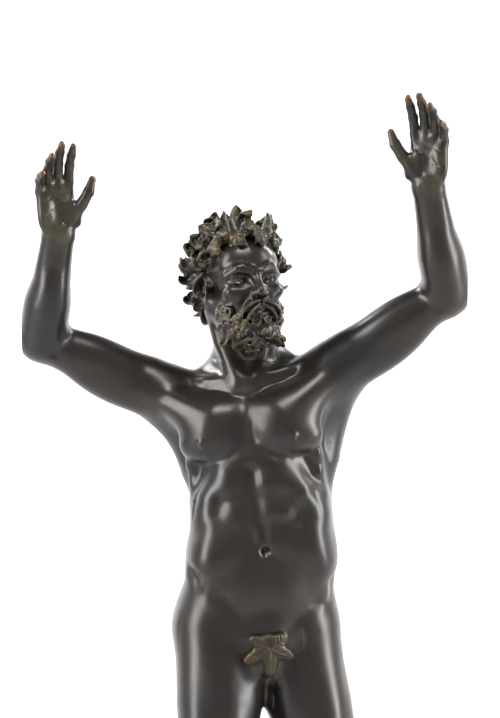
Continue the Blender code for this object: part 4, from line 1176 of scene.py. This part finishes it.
points, faces, normals = clay.skin(GRAIN, SOLE_CUT)
mesh = lightened(points, faces, FIGURE_TRIANGLES)
keep_largest_shell(mesh)
near = kdtree.KDTree(len(points))
for i, point in enumerate(points):
    near.insert(point, i)
near.balance()
figure = placed("dancing_faun", mesh)
spots = np.array([v.co for v in mesh.vertices])
facing = np.array([sum(normals[i] for _, i, _ in near.find_n(p, 3)) for p in spots])
facing /= np.linalg.norm(facing, axis=1)[:, None]
print("surface", len(points), "points;", len(mesh.polygons), "faces kept")


def part_of(clay, points, first, last):
    """Depths under the masses from first to last alone."""
    part = Clay()
    part.masses = clay.masses[first:last]
    return part.depth(points)


bare = part_of(clay, spots, 0, skin_masses)
leafy = part_of(clay, spots, hair_masses, None)
# how deep each point lies in a hollow: the material darkens the hair's hollows with it as painted shade,
# and lays dust in them
hollow = 1 - clay.depth(spots + facing * RELIEF) / RELIEF
ridge = 1 + clay.depth(spots - facing * RELIEF) / RELIEF
store(figure, "hair", np.clip((bare - 0.05) / 0.25, 0, 1))
store(figure, "ivy", np.clip((0.25 - leafy) / 0.2, 0, 1))
store(figure, "hollow", np.clip(hollow, 0, 1))
store(figure, "ridge", np.clip(ridge, 0, 1))
reach = np.min([np.linalg.norm(spots - tip, axis=1) for tips, _, _ in hands for tip in tips], 0)
store(figure, "tips", np.clip(TIP_REACH - reach, 0, 1))
palms = np.array([np.clip((PALM_REACH - np.linalg.norm(spots - middle, axis=1)) / PALM_FADE, 0, 1)
                  * np.clip(facing @ palm, 0, 1) for _, middle, palm in hands])
store(figure, "palms", palms.max(0))
low_corner, high_corner = (np.array(c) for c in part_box("faun"))
place = np.clip(spots * UNIT + FIGURE_SHIFT, low_corner, high_corner)
mesh.vertices.foreach_set("co", place.ravel())
mesh.shade_smooth()
mesh.normals_split_custom_set_from_vertices(facing)


def faun_bronze():
    nodes = Nodes("dark_bronze")
    ridge, hollow, hair, ivy = (nodes.drawn(n) for n in ("ridge", "hollow", "hair", "ivy"))
    # worn through to brown on the body's own high spots, here and there
    high = nodes.times(nodes.ramp(ridge, 0.10, 0.42), nodes.patches(60.0, 6.0, 0.7, 0.40, 0.66))
    body = nodes.blend(nodes.times(high, 0.35), patina(nodes), RUBBED_DULL)
    # hair and beard: an olive-brown ground going to black in the hollows as painted shade, dust in the
    # grooves, metal along the locks' crests
    crest = nodes.times(nodes.ramp(ridge, 0.24, 0.70), nodes.patches(130.0, 4.0, 0.7, 0.44, 0.68))
    # painted shade: the deeper a point lies in a hollow of the hair, the nearer its colour comes to the
    # patina's black
    locks = nodes.blend(nodes.ramp(hollow, 0.15, 0.75), PATINA_OLIVE, PATINA_AND_SHADE_BLACK)
    dusty = nodes.times(nodes.ramp(hollow, 0.30, 0.60), nodes.patches(90.0, 5.0, 0.7, 0.50, 0.70))
    locks = nodes.blend(nodes.times(dusty, 0.2), locks, DUST)
    green = nodes.times(ivy, nodes.patches(80.0, 4.0, 0.65, 0.46, 0.62))
    locks = nodes.blend(nodes.times(green, 0.3), locks, PALM_METAL)
    locks = nodes.blend(nodes.times(crest, 0.45), locks, RUBBED_METAL)
    colour = nodes.blend(hair, body, locks)
    # palms greenish-gold, fingertips down to the copper colour of the metal
    palm = nodes.times(nodes.drawn("palms"), nodes.patches(75.0, 5.0, 0.7, 0.40, 0.62))
    colour = nodes.blend(nodes.times(palm, 0.35), colour, PALM_METAL)
    tip = nodes.times(nodes.drawn("tips"), nodes.patches(140.0, 5.0, 0.7, 0.34, 0.55))
    colour = nodes.blend(nodes.times(tip, 0.5), colour, TIP_METAL)
    worn = nodes.larger(nodes.times(crest, hair), tip)
    gloss = nodes.patches(38.0, 6.0, 0.7, 0.3, 0.75, 0.28, 0.42)
    # the casting's skin under the polish: slow waves, fine grain and a scatter of pin holes
    waves = nodes.bump(nodes.cloud(160.0, 3.0, 0.5), 0.00012, 0.5)
    grain = nodes.bump(nodes.cloud(1100.0, 4.0, 0.65), 0.00004, 0.5, waves)
    holes = nodes.ramp(nodes.pits(420.0), 0.02, 0.10)
    return nodes.finished(
        Base_Color=colour,
        Metallic=nodes.ramp(worn, 0.0, 1.0, 0.15, 0.7),
        Roughness=nodes.plus(gloss, nodes.ramp(hair, 0.0, 1.0, 0.0, 0.05)),
        Coat_Weight=0.35,
        Coat_Roughness=0.24,
        Normal=nodes.bump(holes, 0.00006, 0.6, grain),
    )


mesh.materials.clear()
mesh.materials.append(faun_bronze())
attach(figure, "root")
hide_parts("faun")

# The fig leaf
# Cast apart and soldered or screwed to the body after chasing: a five-lobed leaf with raised
# ribs and veins and a rippled margin, its thin patina rubbed through to the brass-yellow metal.

LEAF_WIDTH = 0.038
LEAF_HEIGHT = 0.038
LEAF_SWELL = 0.0028
LEAF_SAG_SIDE = 0.0045
LEAF_SAG_TIP = 0.0030
LEAF_LOBES = ((0, 1.0, 20), (60, 0.92, 20), (-60, 0.92, 20), (120, 0.70, 20), (-120, 0.70, 20))
LEAF_HEART = 0.42
LEAF_LEAN = 8
LEAF_NOD = 0.10
LEAF_HEIGHT_ON_SPINE = -1.5
LEAF_STAND = (0.2, -12.2, 0)
LEAF_THICKNESS = 0.0012
LEAF_RIB_HEIGHT = 0.0005
LEAF_RIB_WIDTH = 0.00075
LEAF_RIB_TAPER = 0.0004
LEAF_VEIN_HEIGHT = 0.00028
LEAF_VEIN_SPACING = 0.0031
LEAF_WAVE_HEIGHT = 0.0007
CLEARANCE = 0.0003
FEEL_FROM = 0.010
FEEL_TO = -0.009
FEEL_STEPS = 16
LEAF_SPOKES = 300
LEAF_RINGS = 34


def leaf_reach(angle):
    """How far the leaf reaches from its heart at an angle from its tip, as a share of a lobe."""
    bumps = [(reach - LEAF_HEART) * np.exp(-((angle - lobe) / wide) ** 2)
             for lobe, reach, wide in LEAF_LOBES]
    return LEAF_HEART + sum(bumps)


def leaf_relief(x, y, angle, share):
    """Height of the leaf's face over its smooth swell, in metres."""
    height = LEAF_WAVE_HEIGHT * np.sin(np.radians(angle) * 5 + 0.8) * share ** 2
    for lobe, reach, _ in LEAF_LOBES:
        way = np.radians(lobe)
        ahead = (x * np.sin(way) - y * np.cos(way)) / (0.5 * LEAF_WIDTH * reach)
        off = np.abs(x * np.cos(way) + y * np.sin(way))
        near = np.exp(-((angle - lobe + 180) % 360 - 180) ** 2 / 900) * (ahead > 0)
        wide = LEAF_RIB_WIDTH - LEAF_RIB_TAPER * ahead
        rib = LEAF_RIB_HEIGHT * (1.1 - 0.8 * ahead) * np.exp(-(off / wide) ** 2)
        along = ahead * 0.5 * LEAF_WIDTH - 0.7 * off
        vein = np.maximum(0, np.cos(along * 2 * np.pi / LEAF_VEIN_SPACING)) ** 3
        vein = LEAF_VEIN_HEIGHT * vein * np.clip(off / 0.001, 0, 1)
        height = height + near * np.maximum(rib, vein)
    return height


def leaf_faces(rings, spokes):
    """Faces over the front's rings, round the rim, and over the back's rings."""
    count = 1 + rings * spokes

    def at(side, ring, spoke):
        return side * count + (0 if ring == 0 else 1 + (ring - 1) * spokes + spoke % spokes)

    faces = []
    for side in (0, 1):
        for k in range(spokes):
            cap = [at(side, 0, 0), at(side, 1, k), at(side, 1, k + 1)]
            faces.append(cap if side == 0 else cap[::-1])
            for ring in range(1, rings):
                corners = ((ring, k), (ring + 1, k), (ring + 1, k + 1), (ring, k + 1))
                quad = [at(side, *corner) for corner in corners]
                faces.append(quad if side == 0 else quad[::-1])
    front, back = 1 + (rings - 1) * spokes, count + 1 + (rings - 1) * spokes
    for k in range(spokes):
        ahead = (k + 1) % spokes
        faces.append([front + k, back + k, back + ahead, front + ahead])
    return faces


seat = spine_frame(LEAF_HEIGHT_ON_SPINE)
leaf_front = unit(-seat.axes[:, 1] - LEAF_NOD * seat.axes[:, 2])
leaf_axes = np.array([seat.axes[:, 0], np.cross(leaf_front, seat.axes[:, 0]), leaf_front]).T
leaf_axes = leaf_axes @ turned(z=LEAF_LEAN)
leaf_middle = seat.at(*LEAF_STAND) * UNIT + FIGURE_SHIFT

angle = np.tile(np.linspace(-180, 180, LEAF_SPOKES, endpoint=False), LEAF_RINGS)
share = np.repeat((np.arange(LEAF_RINGS) + 1) / LEAF_RINGS, LEAF_SPOKES)
angle, share = np.append(0, angle), np.append(0, share)
reach = leaf_reach(angle) * (1 - 0.03 * np.abs(np.sin(np.radians(angle) * 14)) * share)
x = 0.5 * LEAF_WIDTH * share * reach * np.sin(np.radians(angle))
y = -0.5 * LEAF_HEIGHT * share * reach * np.cos(np.radians(angle))
sag = LEAF_SAG_SIDE * (x / (0.5 * LEAF_WIDTH)) ** 2 + LEAF_SAG_TIP * (y / (0.5 * LEAF_HEIGHT)) ** 2
high = 0.75 * LEAF_SWELL * np.sqrt(np.maximum(0, 1 - share ** 2)) - sag + leaf_relief(x, y, angle, share)
# feel for the body behind each point of the leaf, from well in front of it
behind = np.full(len(x), FEEL_FROM)
for _ in range(FEEL_STEPS):
    flat = np.array([x, y, behind]).T @ leaf_axes.T + leaf_middle
    gap = part_of(clay, (flat - FIGURE_SHIFT) / UNIT, 0, skin_masses) * UNIT - CLEARANCE
    behind = np.maximum(behind - np.minimum(gap, FEEL_FROM), FEEL_TO)
back = np.where(behind > FEEL_TO + 0.0001, behind, high - LEAF_THICKNESS)
front = np.maximum(high, back + LEAF_THICKNESS * (0.55 + 0.45 * (1 - share ** 4)))
back = np.where(share > 0.8, np.maximum(back, front - 2.2 * LEAF_THICKNESS), back)
sides = [np.array([x, y, z]).T @ leaf_axes.T + leaf_middle for z in (front, back)]
leaf_mesh = bpy.data.meshes.new("fig_leaf")
leaf_mesh.from_pydata(np.concatenate(sides), [], leaf_faces(LEAF_RINGS, LEAF_SPOKES))
leaf = placed("chased_fig_leaf", leaf_mesh)
leaf_mesh.shade_smooth()
leaf_mesh.set_sharp_from_angle(angle=np.radians(50))
raised = leaf_relief(x, y, angle, share) / LEAF_RIB_HEIGHT
store(leaf, "ridge", np.concatenate([np.clip(raised, 0, 1), np.zeros(len(x))]))
store(leaf, "rim", np.concatenate([np.clip((share - 0.9) * 10, 0, 1)] * 2))


def leaf_bronze():
    nodes = Nodes("rubbed_bronze")
    brown = nodes.patches(120.0, 5.0, 0.65, 0.38, 0.66)
    ground = nodes.blend(brown, PATINA_OLIVE, PATINA_BROWN)
    patchy = nodes.patches(210.0, 5.0, 0.7, 0.34, 0.6)
    worn = nodes.times(nodes.larger(nodes.drawn("ridge"), nodes.drawn("rim")), patchy)
    colour = nodes.blend(nodes.patches(300.0, 4.0, 0.7, 0.5, 0.7, 0.0, 0.35), ground, DUST)
    return nodes.finished(
        Base_Color=nodes.blend(nodes.times(worn, 0.36), colour, RUBBED_METAL),
        Metallic=nodes.ramp(worn, 0.0, 1.0, 0.25, 0.7),
        Roughness=nodes.patches(150.0, 5.0, 0.7, 0.3, 0.75, 0.30, 0.48),
        Coat_Weight=0.2,
        Coat_Roughness=0.2,
        Normal=nodes.bump(nodes.cloud(1300.0, 4.0, 0.65), 0.00005, 0.6),
    )


leaf_mesh.materials.append(leaf_bronze())
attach(leaf, "root")
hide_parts("fig_leaf")

# The room
# A white photographer's bowl with a floor that runs up into its wall all round, soft boxes at
# both sides and above, and lamps on the wall behind, so that it stands out pure white.

FLOOR_RADIUS = 2.7
WALL_HEIGHT = 2.2
CORNER_RADIUS = 0.9
BOWL_STEPS = 128
WALL_WHITE = (0.62, 0.62, 0.617, 1)

bowl = [(0.0, 0.0), (FLOOR_RADIUS - CORNER_RADIUS, 0.0)]
bowl += arc((FLOOR_RADIUS - CORNER_RADIUS, CORNER_RADIUS), CORNER_RADIUS, -84, 0, 15)
bowl += [(FLOOR_RADIUS, WALL_HEIGHT)]
room = turned_piece("white_bowl", bowl[::-1], BOWL_STEPS)
white = bpy.data.materials.new("matt_white")
white.use_nodes = True
wall_paint = white.node_tree.nodes["Principled BSDF"]
wall_paint.inputs["Base Color"].default_value = WALL_WHITE
wall_paint.inputs["Roughness"].default_value = 0.9
room.data.materials.clear()
room.data.materials.append(white)

CAMERA_RISE = np.radians(3)
CAMERA_AWAY = 1.6
PHOTO_HEIGHT = 0.419             # what the picture takes in from top to bottom, at the aim
SENSOR_HEIGHT = 24
aim = np.array((-1.5, 0.0, 150.0)) * UNIT + FIGURE_SHIFT


def soft_box(name, spot, aim, wide, high, power, colour):
    light = bpy.data.lights.new(name, "AREA")
    light.shape = "RECTANGLE"
    light.size, light.size_y = wide, high
    light.energy = power
    light.color = colour
    box = placed(name, light)
    box.location = spot
    box.rotation_euler = (Vector(aim) - Vector(spot)).to_track_quat("-Z", "Y").to_euler()


SIDE_WATTS = 21
TOP_WATTS = 14
WALL_WATTS = 62
ROOM_GLOW = 0.11
WARM_LIGHT = (1.0, 0.99, 0.97)
WHITE_LIGHT = (1.0, 1.0, 1.0)
middle = (0.0, 0.0, 0.40)
soft_box("left_box", (-1.30, -0.60, 0.80), middle, 0.55, 1.4, SIDE_WATTS, WARM_LIGHT)
soft_box("right_box", (1.35, -0.25, 0.75), middle, 0.40, 1.4, SIDE_WATTS, WARM_LIGHT)
soft_box("top_box", (0.05, -0.70, 1.80), middle, 0.8, 0.5, TOP_WATTS, WHITE_LIGHT)
for side in SIDES:
    soft_box("wall_lamp", (1.5 * side, 1.1, 1.6), (0.35 * side, 2.6, 0.5), 0.6, 0.9, WALL_WATTS,
             WHITE_LIGHT)

world = bpy.data.worlds.new("pale_room")
world.use_nodes = True
glow = world.node_tree.nodes["Background"]
glow.inputs["Color"].default_value = (1, 1, 1, 1)
glow.inputs["Strength"].default_value = ROOM_GLOW
bpy.context.scene.world = world
bpy.context.scene.view_settings.view_transform = "Standard"

lens = bpy.data.cameras.new("camera")
lens.sensor_fit = "VERTICAL"
lens.sensor_height = SENSOR_HEIGHT
lens.lens = SENSOR_HEIGHT * CAMERA_AWAY / PHOTO_HEIGHT
camera = placed("camera", lens)
camera.location = aim + CAMERA_AWAY * np.array((0, -np.cos(CAMERA_RISE), np.sin(CAMERA_RISE)))
camera.rotation_euler = (Vector(aim) - camera.location).to_track_quat("-Z", "Y").to_euler()
bpy.context.scene.camera = camera
